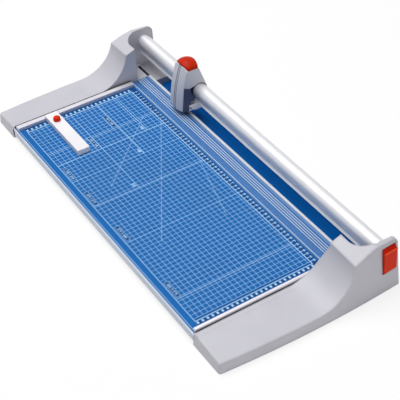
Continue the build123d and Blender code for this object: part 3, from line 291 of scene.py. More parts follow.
@dataclass(frozen=True)
class MouldedPlastic(Finish):
    """Plastic from a grained mould, faintly uneven in tone and rubbed smoother in places."""

    tones: float = 14.0
    grains: float = 1400.0
    grains_per_rub: float = 3.0
    rub_detail: float = 2.0

    @property
    def noises(self) -> Noises:
        """Broad tones, rubbed places and a fine grain."""
        rubs = Noise(self.grains / self.grains_per_rub, self.rub_detail)
        return Noise(self.tones), rubs, Noise(self.grains)


@dataclass(frozen=True, kw_only=True)
class BandedPlastic(MouldedPlastic):
    """Moulded plastic with a dark joint line on both sides of a middle solid."""

    joint: Colour
    middle: str
    line_offset: float = 3.1 * MM
    half_line: float = 0.7 * MM
    roughness: float = 0.46
    grains_per_rub: float = 3.5
    edge: float = 2.0 * MM

    def paint(self, tree: ShaderTree) -> Socket:
        """Draw the joint lines on an even colour.

        Args:
            tree: Material to paint.

        Returns:
            The colour with its lines.
        """
        low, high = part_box(self.middle)
        across = tree.node("ShaderNodeSeparateXYZ", Vector=tree.place).outputs["X"]
        away = tree.sum("ABSOLUTE", tree.sum("SUBTRACT", across, (low.x + high.x) / 2))
        line = tree.sum("COMPARE", away, self.line_offset, self.half_line)
        return tree.blend(line, self.colour, self.joint)


@dataclass(frozen=True)
class CoatedSheet(Finish):
    """Stove-enamelled sheet with a fine orange-peel surface and faint rub marks."""

    roughness: float = 0.45
    rub_spread: float = 0.07
    tone_share: float = 0.9
    relief_share: float = 0.12
    relief_depth: float = 0.04 * MM
    edge: float = 0.6 * MM
    gloss: float = 0.12
    layers: Noises = (Noise(9.0, 4.0), Noise(60.0, 5.0, (1.0, 9.0, 1.0)), Noise(900.0, 2.0))


@dataclass(frozen=True)
class DrawnMetal(Finish):
    """Bare or anodised metal with fine lines along the way it was drawn or ground."""

    roughness: float = 0.3
    rub_spread: float = 0.08
    tone_share: float = 0.86
    relief_share: float = 0.12
    relief_depth: float = 0.03 * MM
    edge: float = 0.4 * MM
    metal: float = 1.0
    lines: float = 2600.0
    stretch: Triple = (0.01, 1.0, 1.0)

    @property
    def noises(self) -> Noises:
        """The same fine lines in all three layers."""
        return (Noise(self.lines, stretch=self.stretch),) * 3


@dataclass(frozen=True)
class ClearSheet(Finish):
    """Clear plastic sheet that veils what lies under it."""

    roughness: float = 0.14
    relief_share: float = 0.05
    relief_depth: float = 0.03 * MM
    edge: float = 0.0
    gloss: float = 0.3
    layers: Noises = (None, *(Noise(300.0, stretch=(0.02, 1.0, 1.0)),) * 2)


@dataclass(frozen=True)
class PrintedInk(Finish):
    """Screen-printed ink, a little thin in places."""

    roughness: float = 0.55
    tone_share: float = 0.85
    gloss: float = 0.12
    layers: Noises = (Noise(500.0), None, None)


@dataclass(frozen=True)
class Finishes:
    """All finishes of the machine."""

    block: Finish = MouldedPlastic("block_grey", tint(191, 190, 198), edge=5.0 * MM)
    shell: Finish = BandedPlastic(
        "head_grey", tint(198, 198, 206), joint=tint(52, 50, 56), middle="head_spine"
    )
    spine: Finish = MouldedPlastic("spine_grey", tint(188, 188, 196), 0.46, edge=1.0 * MM)
    trim: Finish = MouldedPlastic("trim_grey", tint(194, 203, 217), 0.42, grains=900.0)
    white: Finish = MouldedPlastic("stop_white", tint(236, 234, 237), 0.4, grains=1100.0)
    # Lighter and darker copies of the latch red: a painted highlight for the rib, and painted shade for
    # the finger slope.
    bright_red: Finish = MouldedPlastic("rib_red", tint(238, 84, 44), 0.3, grains=700.0, gloss=0.1)
    maroon: Finish = MouldedPlastic("shaded_red", tint(196, 30, 6), 0.4, grains=700.0, gloss=0.07)
    red: Finish = MouldedPlastic("signal_red", tint(212, 46, 10), 0.36, grains=700.0, gloss=0.07)
    deep_red: Finish = MouldedPlastic("deep_red", tint(190, 38, 6), 0.36, grains=700.0, gloss=0.07)
    dark: Finish = MouldedPlastic("carrier_slate", tint(70, 79, 106), gloss=0.25)
    black: Finish = MouldedPlastic("bush_black", tint(28, 28, 31), gloss=0.25)
    rubber: Finish = MouldedPlastic("foot_rubber", tint(34, 33, 33), 0.85, grains=600.0, relief_share=0.5)
    table: Finish = CoatedSheet("table_blue", tint(6, 98, 172))
    tray: Finish = CoatedSheet("tray_blue", tint(0, 104, 190), gloss=0.05)
    bearer: Finish = CoatedSheet("bearer_grey", tint(92, 94, 99))
    rail: Finish = DrawnMetal("rail_silver", tint(222, 222, 226), 0.42, metal=0.4)
    # Lighter than the rail's own silver, as a painted highlight on the rail's foot edge.
    bright: Finish = DrawnMetal("edge_silver", tint(252, 252, 254), 0.45, metal=0.3)
    fence: Finish = DrawnMetal(
        "fence_silver", tint(206, 204, 212), 0.42, metal=0.5, stretch=(1.0, 0.01, 1.0)
    )
    steel: Finish = DrawnMetal("knife_steel", tint(244, 245, 247), metal=0.3)
    # Darker blue steel for the counter blade's body: painted shade under the clear strip.
    blued: Finish = DrawnMetal("blued_steel", tint(104, 140, 186), 0.4, metal=0.3)
    blade: Finish = DrawnMetal("blade_steel", tint(214, 216, 220), 0.2, stretch=(1.0, 1.0, 1.0))
    zinc: Finish = DrawnMetal("zinc_bright", tint(190, 192, 196), 0.35, stretch=(1.0, 1.0, 1.0))
    clear: Finish = ClearSheet("strip_clear", tint(176, 210, 236), veil=0.08, gloss=0.15)
    # Pale and less clear than the strip: painted highlights on its ridges and front edge.
    ridge: Finish = ClearSheet("strip_ridge", tint(216, 236, 255), veil=0.75)
    ink: Finish = PrintedInk("print_white", tint(168, 211, 245))
    band: Finish = PrintedInk("print_navy", tint(8, 70, 132))


def keep(finish: Finish, *nodes: str) -> None:
    """Give solids that show as they are a finish.

    Args:
        finish: Finish for all of them.
        nodes: Names of the solids.
    """
    for node in nodes:
        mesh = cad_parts[node].data
        mesh.materials.clear()
        mesh.materials.append(finish.material)
        LOG.info("finished %s", node)


def settle(piece: Piece, body: str, slot: str, *finishes: Finish) -> Piece:
    """Put a new piece on a body with its finishes.

    Args:
        piece: New piece, in place.
        body: Body that it moves with.
        slot: Material slot of the record; not used.
        finishes: Finishes to wear, in the order of the mesh's own indices.

    Returns:
        The piece.
    """
    for finish in finishes:
        piece.data.materials.append(finish.material)
    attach(piece, body)
    LOG.info("built %s", piece.name)
    return piece


def stand(name: str, data: bpy.types.ID) -> Piece:
    """Put a new object in the scene, at the world origin.

    Args:
        name: Name of the object.
        data: Its mesh, text, lamp or camera.

    Returns:
        The object.
    """
    thing = bpy.data.objects.new(name, data)
    bpy.context.scene.collection.objects.link(thing)
    return thing


def flattened(thing: Piece) -> bpy.types.Mesh:
    """Swap an object for a plain mesh of what it shows.

    Args:
        thing: Object with a modifier or a text, which is used up.

    Returns:
        The mesh.
    """
    graph = bpy.context.evaluated_depsgraph_get()
    graph.update()
    mesh = bpy.data.meshes.new_from_object(thing.evaluated_get(graph))
    bpy.data.objects.remove(thing)
    return mesh


def as_piece(name: str, form: Form) -> Piece:
    """Turn a working mesh into an object in the scene.

    Args:
        name: Name of the object.
        form: Working mesh, which is used up.

    Returns:
        The object.
    """
    mesh = bpy.data.meshes.new(name)
    form.to_mesh(mesh)
    form.free()
    return stand(name, mesh)


def copied(node: str) -> Form:
    """Copy a solid's mesh, with its triangles joined up.

    Args:
        node: Name of the solid.

    Returns:
        The working mesh.
    """
    form = bmesh.new()
    form.from_mesh(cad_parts[node].data)
    bmesh.ops.remove_doubles(form, verts=form.verts, dist=MERGE_REACH)
    return form


def slab(form: Form, middle: Vector, size: Sequence[float], turn: float = 0.0) -> None:
    """Add a box to a working mesh, with its sides in metres and its turn about the upright."""
    place = Matrix.Translation(middle) @ Matrix.Rotation(turn, 4, "Z")
    bmesh.ops.create_cube(form, size=1.0, matrix=place @ Matrix.Diagonal((*size, 1.0)))


def bar(form: Form, section: Sequence[Pair], along: Axis, ends: Pair) -> None:
    """Add a closed bar of one section to a working mesh.

    Args:
        form: Working mesh to add to.
        section: Corners across the bar, as the other level axis and the height.
        along: Axis of the bar, X or Y.
        ends: Where the bar starts and stops.
    """
    rings = []
    for stop in ends:
        corners = [(stop, level, z) if along == Axis.X else (level, stop, z) for level, z in section]
        rings.append([form.verts.new(corner) for corner in corners])
        form.faces.new(rings[-1])
    for i, corner in enumerate(rings[0]):
        form.faces.new((rings[0][i - 1], corner, rings[1][i], rings[1][i - 1]))


def round_off(form: Form, radius: float, segments: int = 2) -> None:
    """Turn the faces of a working mesh outwards, and round its edges by some millimetres."""
    bmesh.ops.recalc_face_normals(form, faces=form.faces)
    bmesh.ops.bevel(
        form, geom=form.edges, offset=radius * MM, segments=segments, profile=0.5, affect="EDGES"
    )


def islands(node: str) -> list[list[Vector]]:
    """Sort the corners of a group of solids into its separate solids.

    Args:
        node: Name of the group.

    Returns:
        The corners of each solid.
    """
    form = copied(node)
    waiting = dict.fromkeys(form.verts)
    found: list[list[Vector]] = []
    while waiting:
        # The corners wait in the mesh's own order, so each run sorts them alike.
        edge = [next(iter(waiting))]
        del waiting[edge[0]]
        solid: list[Vector] = []
        while edge:
            corner = edge.pop()
            solid.append(corner.co.copy())
            for near in (link.other_vert(corner) for link in corner.link_edges):
                if near in waiting:
                    del waiting[near]
                    edge.append(near)
        found.append(solid)
    form.free()
    return found


def extent(corners: Iterable[Vector]) -> tuple[Vector, Vector]:
    """Lowest and highest corner of the box round some points."""
    axes = list(zip(*corners))
    return Vector([min(axis) for axis in axes]), Vector([max(axis) for axis in axes])


def cut_line() -> float:
    """Place of the cut along Y, just before the counter blade's rear edge."""
    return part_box("counter_blade")[1].y - CUT_INSET


class GrowthTree(NodeBoard):
    """A geometry tree with named inputs that sets copies of one shape on points."""

    def __init__(self, name: str, inputs: Mapping[str, str]) -> None:
        """Start a tree.

        Args:
            name: Name of the tree.
            inputs: Kind of socket for each named size.
        """
        super().__init__(bpy.data.node_groups.new(name, "GeometryNodeTree"))
        sockets = {"Points": "NodeSocketGeometry", **inputs, "Finish": "NodeSocketMaterial"}
        for label, kind in sockets.items():
            self.tree.interface.new_socket(name=label, in_out="INPUT", socket_type=kind)
        self.tree.interface.new_socket(name="Geometry", in_out="OUTPUT", socket_type="NodeSocketGeometry")
        self.given = self.node("NodeGroupInput").outputs
        self.made = self.node("NodeGroupOutput")

    def vector(self, x: object = 0.0, y: object = 0.0, z: object = 0.0) -> Socket:
        """Join three numbers, each a value or a socket."""
        return self.node("ShaderNodeCombineXYZ", x, y, z).outputs[0]

    def raised(self, shape: Socket, rise: Socket) -> Socket:
        """Move a shape along Z."""
        way = self.vector(z=rise)
        return self.node("GeometryNodeTransform", Geometry=shape, Translation=way).outputs["Geometry"]

    def close(self, shape: Socket, turn: Socket | None = None) -> None:
        """Set the shape on every point and dress it.

        Args:
            shape: Shape to repeat.
            turn: Angles that every copy is turned by.
        """
        place = self.node("GeometryNodeInstanceOnPoints", Points=self.given["Points"], Instance=shape)
        if turn is not None:
            self.feed(place, Rotation=self.node("FunctionNodeEulerToRotation", Euler=turn).outputs[0])
        real = self.node("GeometryNodeRealizeInstances", Geometry=place.outputs["Instances"])
        dress = self.node("GeometryNodeSetMaterial", Material=self.given["Finish"])
        self.feed(dress, Geometry=real.outputs["Geometry"])
        self.feed(self.made, Geometry=dress.outputs["Geometry"])

    def grow(self, points: Sequence[Vector], **sizes: object) -> bpy.types.Mesh:
        """Run the tree and keep its result as a plain mesh.

        Args:
            points: Where the copies go.
            sizes: Value of each input, with underscores for spaces.

        Returns:
            The mesh.
        """
        spots = bpy.data.meshes.new("spots")
        spots.from_pydata([tuple(point) for point in points], [], [])
        holder = stand("holder", spots)
        modifier = holder.modifiers.new("growth", "NODES")
        modifier.node_group = self.tree
        for item in self.tree.interface.items_tree:
            if item.in_out == "INPUT" and item.name != "Points":
                modifier[item.identifier] = sizes[item.name.replace(" ", "_")]
        return flattened(holder)


class Facing(Enum):
    """Way that a screw's head looks: the axis, its sign and the turn from upright."""

    UP = (Axis.Z, 1, (0.0, 0.0, 0.0))
    DOWN = (Axis.Z, -1, (math.pi, 0.0, 0.0))
    RIGHT = (Axis.X, 1, (0.0, math.pi / 2, 0.0))
    LEFT = (Axis.X, -1, (0.0, -math.pi / 2, 0.0))


@dataclass
class Screws:
    """Cross-headed screws that stand for the plain ones, where these are."""

    slot_width_share: float = 0.3
    slot_length_share: float = 1.3
    slot_depth_share: float = 0.6
    crown_share: float = 0.86
    head_sides: int = 24
    shank_sides: int = 16
    collar_share: float = 0.97
    decimals: int = 6

    def __post_init__(self) -> None:
        """Build the tree of one screw, with the top of its head at the point."""
        names = ("Head Radius", "Head Height", "Shank Radius", "Length")
        kinds = {name: "NodeSocketFloat" for name in names}
        tree = GrowthTree("cross_screws", {**kinds, "Turn": "NodeSocketVector"})
        radius, height, shank_radius, length = (tree.given[name] for name in names)
        head = tree.node("GeometryNodeMeshCone", Vertices=self.head_sides, Depth=height)
        tree.feed(head, Radius_Top=tree.sum("MULTIPLY", radius, self.crown_share), Radius_Bottom=radius)
        seated = tree.raised(head.outputs["Mesh"], tree.sum("MULTIPLY", height, -1.0))
        long = tree.sum("MULTIPLY", radius, self.slot_length_share)
        wide = tree.sum("MULTIPLY", radius, self.slot_width_share)
        deep = tree.sum("MULTIPLY", height, 2 * self.slot_depth_share)
        recess = tree.node("GeometryNodeMeshBoolean", Mesh_1=seated)
        recess.operation = "DIFFERENCE"
        for level in ((long, wide), (wide, long)):
            groove = tree.node("GeometryNodeMeshCube", Size=tree.vector(*level, deep))
            tree.feed(recess, Mesh_2=groove.outputs["Mesh"])
        shank = tree.node("GeometryNodeMeshCylinder", Vertices=self.shank_sides, Radius=shank_radius)
        tree.feed(shank, Depth=tree.sum("SUBTRACT", length, height))
        middle = tree.sum("MULTIPLY", tree.sum("ADD", length, height), -0.5)
        whole = tree.node("GeometryNodeJoinGeometry")
        for part in (recess.outputs["Mesh"], tree.raised(shank.outputs["Mesh"], middle)):
            tree.feed(whole, Geometry=part)
        tree.close(whole.outputs["Geometry"], tree.given["Turn"])
        self.tree = tree

    def build(self, node: str, body: str, axis: Axis, finish: Finish) -> None:
        """Set screws where a group of plain ones is.

        Args:
            node: Name of the group.
            body: Body that the group moves with.
            axis: Axis along which the screws lie, X or Z.
            finish: Finish of the screws.
        """
        form = bmesh.new()
        for solid in islands(node):
            low, high = extent(solid)
            middle = (low + high) / 2
            reach = {}
            for corner in solid:
                off = corner - middle
                off[axis] = 0
                place = round(corner[axis], self.decimals)
                reach[place] = max(off.length, reach.get(place, 0.0))
            radius = max(reach.values())
            collar = [place for place, wide in reach.items() if wide > self.collar_share * radius]
            up = high[axis] - max(collar) < min(collar) - low[axis]
            facing = next(way for way in Facing if way.value[:2] == (axis, 1 if up else -1))
            top, tip = (high, low) if up else (low, high)
            middle[axis] = top[axis]
            mesh = self.tree.grow(
                [middle],
                Head_Radius=radius,
                Head_Height=max(collar) - min(collar),
                Shank_Radius=reach[round(tip[axis], self.decimals)],
                Length=high[axis] - low[axis],
                Turn=facing.value[2],
                Finish=finish.material,
            )
            form.from_mesh(mesh)
        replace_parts(settle(as_piece(f"{node}_crossed", form), body, "steel", finish), node)


@dataclass
class Assembly:
    """A part of the machine, with the finishes and the screws that dress it. Sizes are millimetres."""

    finishes: Finishes
    screws: Screws


@dataclass
class TablePrint(Assembly):
    """White print on the table: a grid, format lines, scales and figures.

    Places are millimetres from the left fence's inner face and from the cut line.
    """

    grid_left: float = 20.0
    grid_right: float = 650.0
    grid_rear: float = -70.0
    grid_front: float = -310.0
    pitch: float = 10.0
    hairline: float = 0.7
    rule: float = 1.2
    ink_height: float = 0.04
    layer: float = 0.004
    border_left: float = 13.5
    border_right: float = 656.0
    border_rule: float = 1.8
    scale_rear: float = -52.0
    scale_front: float = -64.5
    scale_rule: float = 1.7
    scale_band: Pair = (670.0, 11.5)
    # Each side band is its middle along X, and its width.
    side_bands: tuple[Pair, ...] = ((7.3, 11.0), (661.4, 8.4), (653.0, 2.0))
    # Each side scale is its middle along X, its lead, its marks to a square, and the size of one mark.
    side_marks: tuple[tuple[float, float, int, Pair], ...] = (
        (7.5, 2.5, 1, (6.4, 3.8)),
        (11.7, 0.0, 2, (2.6, 0.8)),
        (661.0, 2.5, 1, (5.6, 4.2)),
    )
    # A pale ink line along the front edge stands for the highlight on the sheet's folded edge: a painted
    # highlight.
    edge_line: float = 1.0
    edge_inset: float = 2.4
    tick_y: float = -61.6
    tick_size: Pair = (1.7, 4.0)
    figure_y: float = -56.2
    figure_height: float = 3.8
    figure_weight_share: float = 0.1
    figure_steps: int = 2
    digit_share: float = 1.45
    slant_line: float = 0.65
    slants: tuple[tuple[Pair, Pair], ...] = (
        ((140.0, -67.0), (455.0, -255.0)),
        ((105.0, -90.0), (265.0, -255.0)),
        ((292.0, -70.0), (460.0, -117.0)),
    )
    format_columns: tuple[float, ...] = (105.0, 148.0, 210.0, 297.0, 420.0, 594.0)
    format_rows: tuple[Pair, ...] = ((-105.0, 148.0), (-148.0, 210.0), (-210.0, 297.0))
    corner_inset: float = 12.0
    corner_drop: float = 5.6
    corner_height: float = 5.2
    label_height: float = 8.6
    label_rule: float = 0.7
    label_share: float = 0.46
    label_spread: float = 1.3
    labels: tuple[tuple[float, float, float, str], ...] = (
        (165.0, 205.0, -302.0, "148 × 210"),
        (250.0, 295.0, -302.0, "210 × 297"),
        (370.0, 415.0, -302.0, "297 × 420"),
        (547.0, 590.0, -302.0, "420 × 594"),
        (57.0, 100.0, -154.0, "74 × 105"),
        (102.0, 142.0, -215.0, "105 × 148"),
    )

    def __post_init__(self) -> None:
        """Build the tree that lays equal strips of ink on points."""
        self.tree = GrowthTree("printed_strips", {"Size": "NodeSocketVector"})
        strip = self.tree.node("GeometryNodeMeshCube", Size=self.tree.given["Size"])
        self.tree.close(strip.outputs["Mesh"])
        self.lift = 0.0
        self.columns = round((self.grid_right - self.grid_left) / self.pitch) + 1
        self.lines = round((self.grid_rear - self.grid_front) / self.pitch) + 1
        self.deep = self.scale_front - self.grid_front
        self.middle_y = (self.grid_front + self.scale_front) / 2

    @cached_property
    def origin(self) -> Vector:
        """Place on the table top where the fence line meets the cut line, in metres."""
        return Vector((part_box("left_fence")[1].x, cut_line(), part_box("table_plate")[1].z))

    def build(self) -> None:
        """Lay the dark bands, and all the white print as one piece."""
        self.start(self.finishes.band)
        self.bands()
        self.finish("scale_bands")
        self.lift += self.ink_height
        self.start(self.finishes.ink)
        self.grid()
        self.side_scales()
        self.edge()
        self.boxes()
        self.figures()
        self.finish("table_print")

    def start(self, ink: Finish) -> None:
        """Start an empty print in one ink."""
        self.ink = ink
        self.form = bmesh.new()

    def finish(self, name: str) -> None:
        """Turn the print into a piece on the table."""
        settle(as_piece(name, self.form), "base", "table_blue", self.ink)

    def point(self, x: float, y: float) -> Vector:
        """Place in the frame, from millimetres on the print."""
        return self.origin + Vector((x, y, self.lift + self.ink_height / 2)) * MM

    def row(self, count: int, first: Pair, step: Pair, size: Pair) -> None:
        """Print a row of strips.

        Args:
            count: How many strips.
            first: Middle of the first one.
            step: From each one to the next.
            size: Length along X and along Y.
        """
        spots = [self.point(first[0] + i * step[0], first[1] + i * step[1]) for i in range(count)]
        block = Vector((*size, self.ink_height)) * MM
        self.form.from_mesh(self.tree.grow(spots, Size=block, Finish=self.ink.material))
        self.lift += self.layer

    def strip(self, x: float, y: float, wide: float, deep: float) -> None:
        """Print one strip about its middle."""
        self.row(1, (x, y), (0, 0), (wide, deep))

    def bands(self) -> None:
        """Print the dark bands under the scales."""
        centre = (self.grid_left + self.grid_right) / 2
        self.strip(centre, (self.scale_rear + self.scale_front) / 2, *self.scale_band)
        for x, wide in self.side_bands:
            self.strip(x, self.middle_y, wide, self.deep)

    def grid(self) -> None:
        """Print the grid with its border, and the format lines and slanting lines on it."""
        first = (self.grid_left, self.middle_y)
        self.row(self.columns, first, (self.pitch, 0), (self.hairline, self.deep))
        across = self.grid_right - self.border_left
        first = (self.border_left + across / 2, self.grid_front)
        self.row(self.lines, first, (0, self.pitch), (across, self.hairline))
        for x in (self.border_left, self.border_right):
            self.strip(x, self.middle_y, self.border_rule, self.deep)
        centre = (self.border_left + self.border_right) / 2
        wide = self.border_right - self.border_left
        self.strip(centre, self.scale_front, wide, self.scale_rule)
        self.strip(centre, self.grid_front, wide, self.rule)
        for x in self.format_columns:
            self.strip(x, self.middle_y, self.rule, self.deep)
        for y, reach in self.format_rows:
            self.strip((self.border_left + reach) / 2, y, reach - self.border_left, self.rule)
        for start, end in self.slants:
            self.slant(self.point(*start), self.point(*end))

    def slant(self, start: Vector, end: Vector) -> None:
        """Print one slanting line.

        Args:
            start: Where it starts, in the frame.
            end: Where it stops.
        """
        run = end - start
        size = (run.length, self.slant_line * MM, self.ink_height * MM)
        slab(self.form, (start + end) / 2, size, math.atan2(run.y, run.x))
        self.lift += self.layer

    def side_scales(self) -> None:
        """Print the blocks and ticks along both sides of the grid."""
        for x, lead, often, size in self.side_marks:
            step = (0, self.pitch / often)
            self.row(often * self.lines, (x, self.grid_front + lead), step, size)

    def edge(self) -> None:
        """Print a fine pale line along the table's front edge, as a painted highlight on the sheet's
        folded edge.
        """
        low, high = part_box("table_plate")
        start = (low - self.origin) / MM
        long = (high.x - low.x) / MM - 2 * self.edge_inset
        self.strip(start.x + self.edge_inset + long / 2, start.y + self.edge_inset, long, self.edge_line)

    def boxes(self) -> None:
        """Clear a field left of each format line, and print a frame and its measure in it."""
        printed = (self.ink, self.form)
        self.start(self.finishes.band)
        places = [((left + right) / 2, y, right - left) for left, right, y, _ in self.labels]
        for x, y, wide in places:
            self.strip(x, y, wide, self.label_height)
        self.finish("label_fields")
        self.ink, self.form = printed
        for (x, y, wide), (*_, measure) in zip(places, self.labels):
            for side in (-1, 1):
                self.strip(x, y + side * self.label_height / 2, wide, self.label_rule)
                self.strip(x + side * wide / 2, y, self.label_rule, self.label_height)
            self.figure(measure, x, y, self.label_height * self.label_share, self.label_spread)

    def figures(self) -> None:
        """Print the measure at each format corner, and a plain count of centimetres along the rear."""
        for y, reach in self.format_rows:
            place = (reach - self.corner_inset, y - self.corner_drop)
            self.figure(str(round(-y)), *place, self.corner_height)
        self.row(self.columns, (self.grid_left, self.tick_y), (self.pitch, 0), self.tick_size)
        for index in range(self.columns):
            x = self.grid_left + index * self.pitch
            self.figure(str(round(x / self.pitch)), x, self.figure_y, self.figure_height)

    def figure(self, number: str, x: float, y: float, height: float, spread: float = 1.0) -> None:
        """Print one number, or a pair of them.

        Args:
            number: What to print.
            x: Middle of the number.
            y: Middle of the number.
            height: Height of its digits.
            spread: Spacing of its digits, where 1 is usual.
        """
        curve = bpy.data.curves.new("figure", "FONT")
        curve.body = number
        curve.space_character = spread
        curve.size = height * self.digit_share * MM
        curve.extrude = self.ink_height / 2 * MM
        curve.offset = self.figure_weight_share * height * MM
        curve.align_x = "CENTER"
        curve.align_y = "CENTER"
        curve.resolution_u = self.figure_steps
        mesh = flattened(stand("figure", curve))
        mesh.transform(Matrix.Translation(self.point(x, y)))
        self.form.from_mesh(mesh)


@dataclass
class Base(Assembly):
    """Table, blocks, fences, tray and rail: all that stands still."""

    # Size, lead and rounding of the dark strip in each bay, laid as painted shade of a slot.
    felt_size: Triple = (44.0, 5.8, 0.12)
    felt_lead: float = 6.0
    felt_round: float = 0.04
    bay_floor: float = 24.6
    joint: float = 3.0
    # Sizes of the dark rubber strips laid as painted shade in the joints beside the fences and down the
    # left front.
    seal_foot: float = 21.0
    seal_drop: float = 1.0
    seal_head: float = 3.2
    seal_shoulder: float = 2.4
    seal_gap: float = 0.35
    seal_round: float = 0.25
    leg_width: float = 5.0
    leg_proud: float = 0.5
    leg_sink: float = 0.3
    lip_seal: float = 0.7
    lip_seal_rise: float = 3.6
    channel_half: float = 8.0
    # Corners of the rail's sloping edge, which wears a painted highlight, by how far each stands before
    # the wall and above the foot.
    edge_section: tuple[Pair, ...] = ((-0.3, 0.2), (1.9, 0.2), (2.3, 0.8), (2.2, 1.6), (-0.3, 6.6))
    edge_round: float = 0.15
    edge_gap: float = 0.5
    ground_width: float = 5.6
    screws_along_z: tuple[str, ...] = ("knife_screws", "fence_screws", "cover_screws")
    screws_along_x: tuple[str, ...] = ("bearer_screws", "rail_bolts")

    def build(self) -> None:
        """Dress the fixed solids, print the table and set the screws."""
        worn = self.finishes
        keep(worn.block, "left_end_block", "right_end_block", "left_base_cover", "right_base_cover")
        keep(worn.table, "table_plate")
        keep(worn.tray, "base_tray", "knife_bar")
        keep(worn.trim, "front_trim")
        keep(worn.fence, "left_fence", "right_fence")
        keep(worn.bearer, "left_bearer", "right_bearer")
        keep(worn.rail, "guide_rail")
        keep(worn.black, "left_rail_plug", "right_rail_plug", "clamp_bushes")
        keep(worn.rubber, "rubber_feet")
        keep(worn.zinc, "latch_pins")
        TablePrint(worn, self.screws).build()
        self.felts()
        self.seal()
        self.rail_edge()
        self.counter_knife()
        for axis, nodes in ((Axis.Z, self.screws_along_z), (Axis.X, self.screws_along_x)):
            for node in nodes:
                self.screws.build(node, "base", axis, worn.zinc)

    def felts(self) -> None:
        """Lay a dark strip beside the blade's groove in each bay, as painted shade of a slot."""
        form = bmesh.new()
        size = Vector(self.felt_size) * MM
        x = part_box("table_plate")[1].x + self.joint * MM + size.x / 2
        y = cut_line() - self.felt_lead * MM + size.y / 2
        z = self.bay_floor * MM + size.z / 2
        for side in (-1, 1):
            slab(form, Vector((side * x, y, z)), size)
        round_off(form, self.felt_round, segments=1)
        settle(as_piece("bay_felts", form), "base", "rubber", self.finishes.black)

    def seal(self) -> None:
        """Lay dark rubber strips as painted shade in the joint beside each fence and down the left front.
        """
        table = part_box("table_plate")
        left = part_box("left_fence")
        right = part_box("right_fence")
        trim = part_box("front_trim")
        gap = self.seal_gap * MM
        floor = table[1].z
        inner = table[0].x - gap
        outer = table[0].x - self.joint * MM + gap
        foot = self.seal_foot * MM
        top = left[1].z - self.seal_drop * MM
        form = bmesh.new()
        hooked = (
            (outer, foot),
            (inner, foot),
            (inner, floor),
            (left[0].x, floor),
            (left[0].x, top),
            (left[0].x - self.seal_head * MM, top),
            (outer, floor + self.seal_shoulder * MM),
        )
        bar(form, hooked, Axis.Y, (left[0].y, left[1].y))
        edge = right[1].x
        flat = ((edge, floor), (edge + self.lip_seal * MM, floor))
        raised = [(x, z + self.lip_seal_rise * MM) for x, z in reversed(flat)]
        bar(form, (*flat, *raised), Axis.Y, (right[0].y, right[1].y))
        front = (trim[0].y - self.leg_proud * MM, trim[0].y + self.leg_sink * MM)
        low = trim[0].z + gap
        leg = ((front[0], low), (front[1], low), (front[1], trim[1].z), (front[0], trim[1].z))
        bar(form, leg, Axis.X, (outer, outer + self.leg_width * MM))
        round_off(form, self.seal_round)
        settle(as_piece("joint_seal", form), "base", "rubber", self.finishes.rubber)

    def rail_edge(self) -> None:
        """Lay a sloping edge along the foot of the rail's front wall, which catches the light, in a
        lighter finish than the rail as a painted highlight.
        """
        low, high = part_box("guide_rail")
        wall = (low.y + high.y) / 2 - self.channel_half * MM
        section = [(wall - y * MM, low.z + z * MM) for y, z in self.edge_section]
        form = bmesh.new()
        bar(form, section, Axis.X, (low.x + self.edge_gap * MM, high.x - self.edge_gap * MM))
        round_off(form, self.edge_round)
        settle(as_piece("rail_edge", form), "base", "rail_silver", self.finishes.bright)

    def counter_knife(self) -> None:
        """Copy the counter blade with a bright ground edge, and its body in a darker blue as painted
        shade.
        """
        form = copied("counter_blade")
        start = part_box("counter_blade")[1].y - self.ground_width * MM
        every = [*form.verts, *form.edges, *form.faces]
        bmesh.ops.bisect_plane(form, geom=every, plane_co=(0.0, start, 0.0), plane_no=(0.0, 1.0, 0.0))
        # Faces in front of the ground edge take the darker blue: painted shade.
        for face in form.faces:
            face.material_index = 0 if face.calc_center_median().y > start else 1
        bmesh.ops.triangulate(form, faces=form.faces)
        piece = as_piece("counter_blade_ground", form)
        settle(piece, "base", "steel", self.finishes.steel, self.finishes.blued)
        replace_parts(piece, "counter_blade")


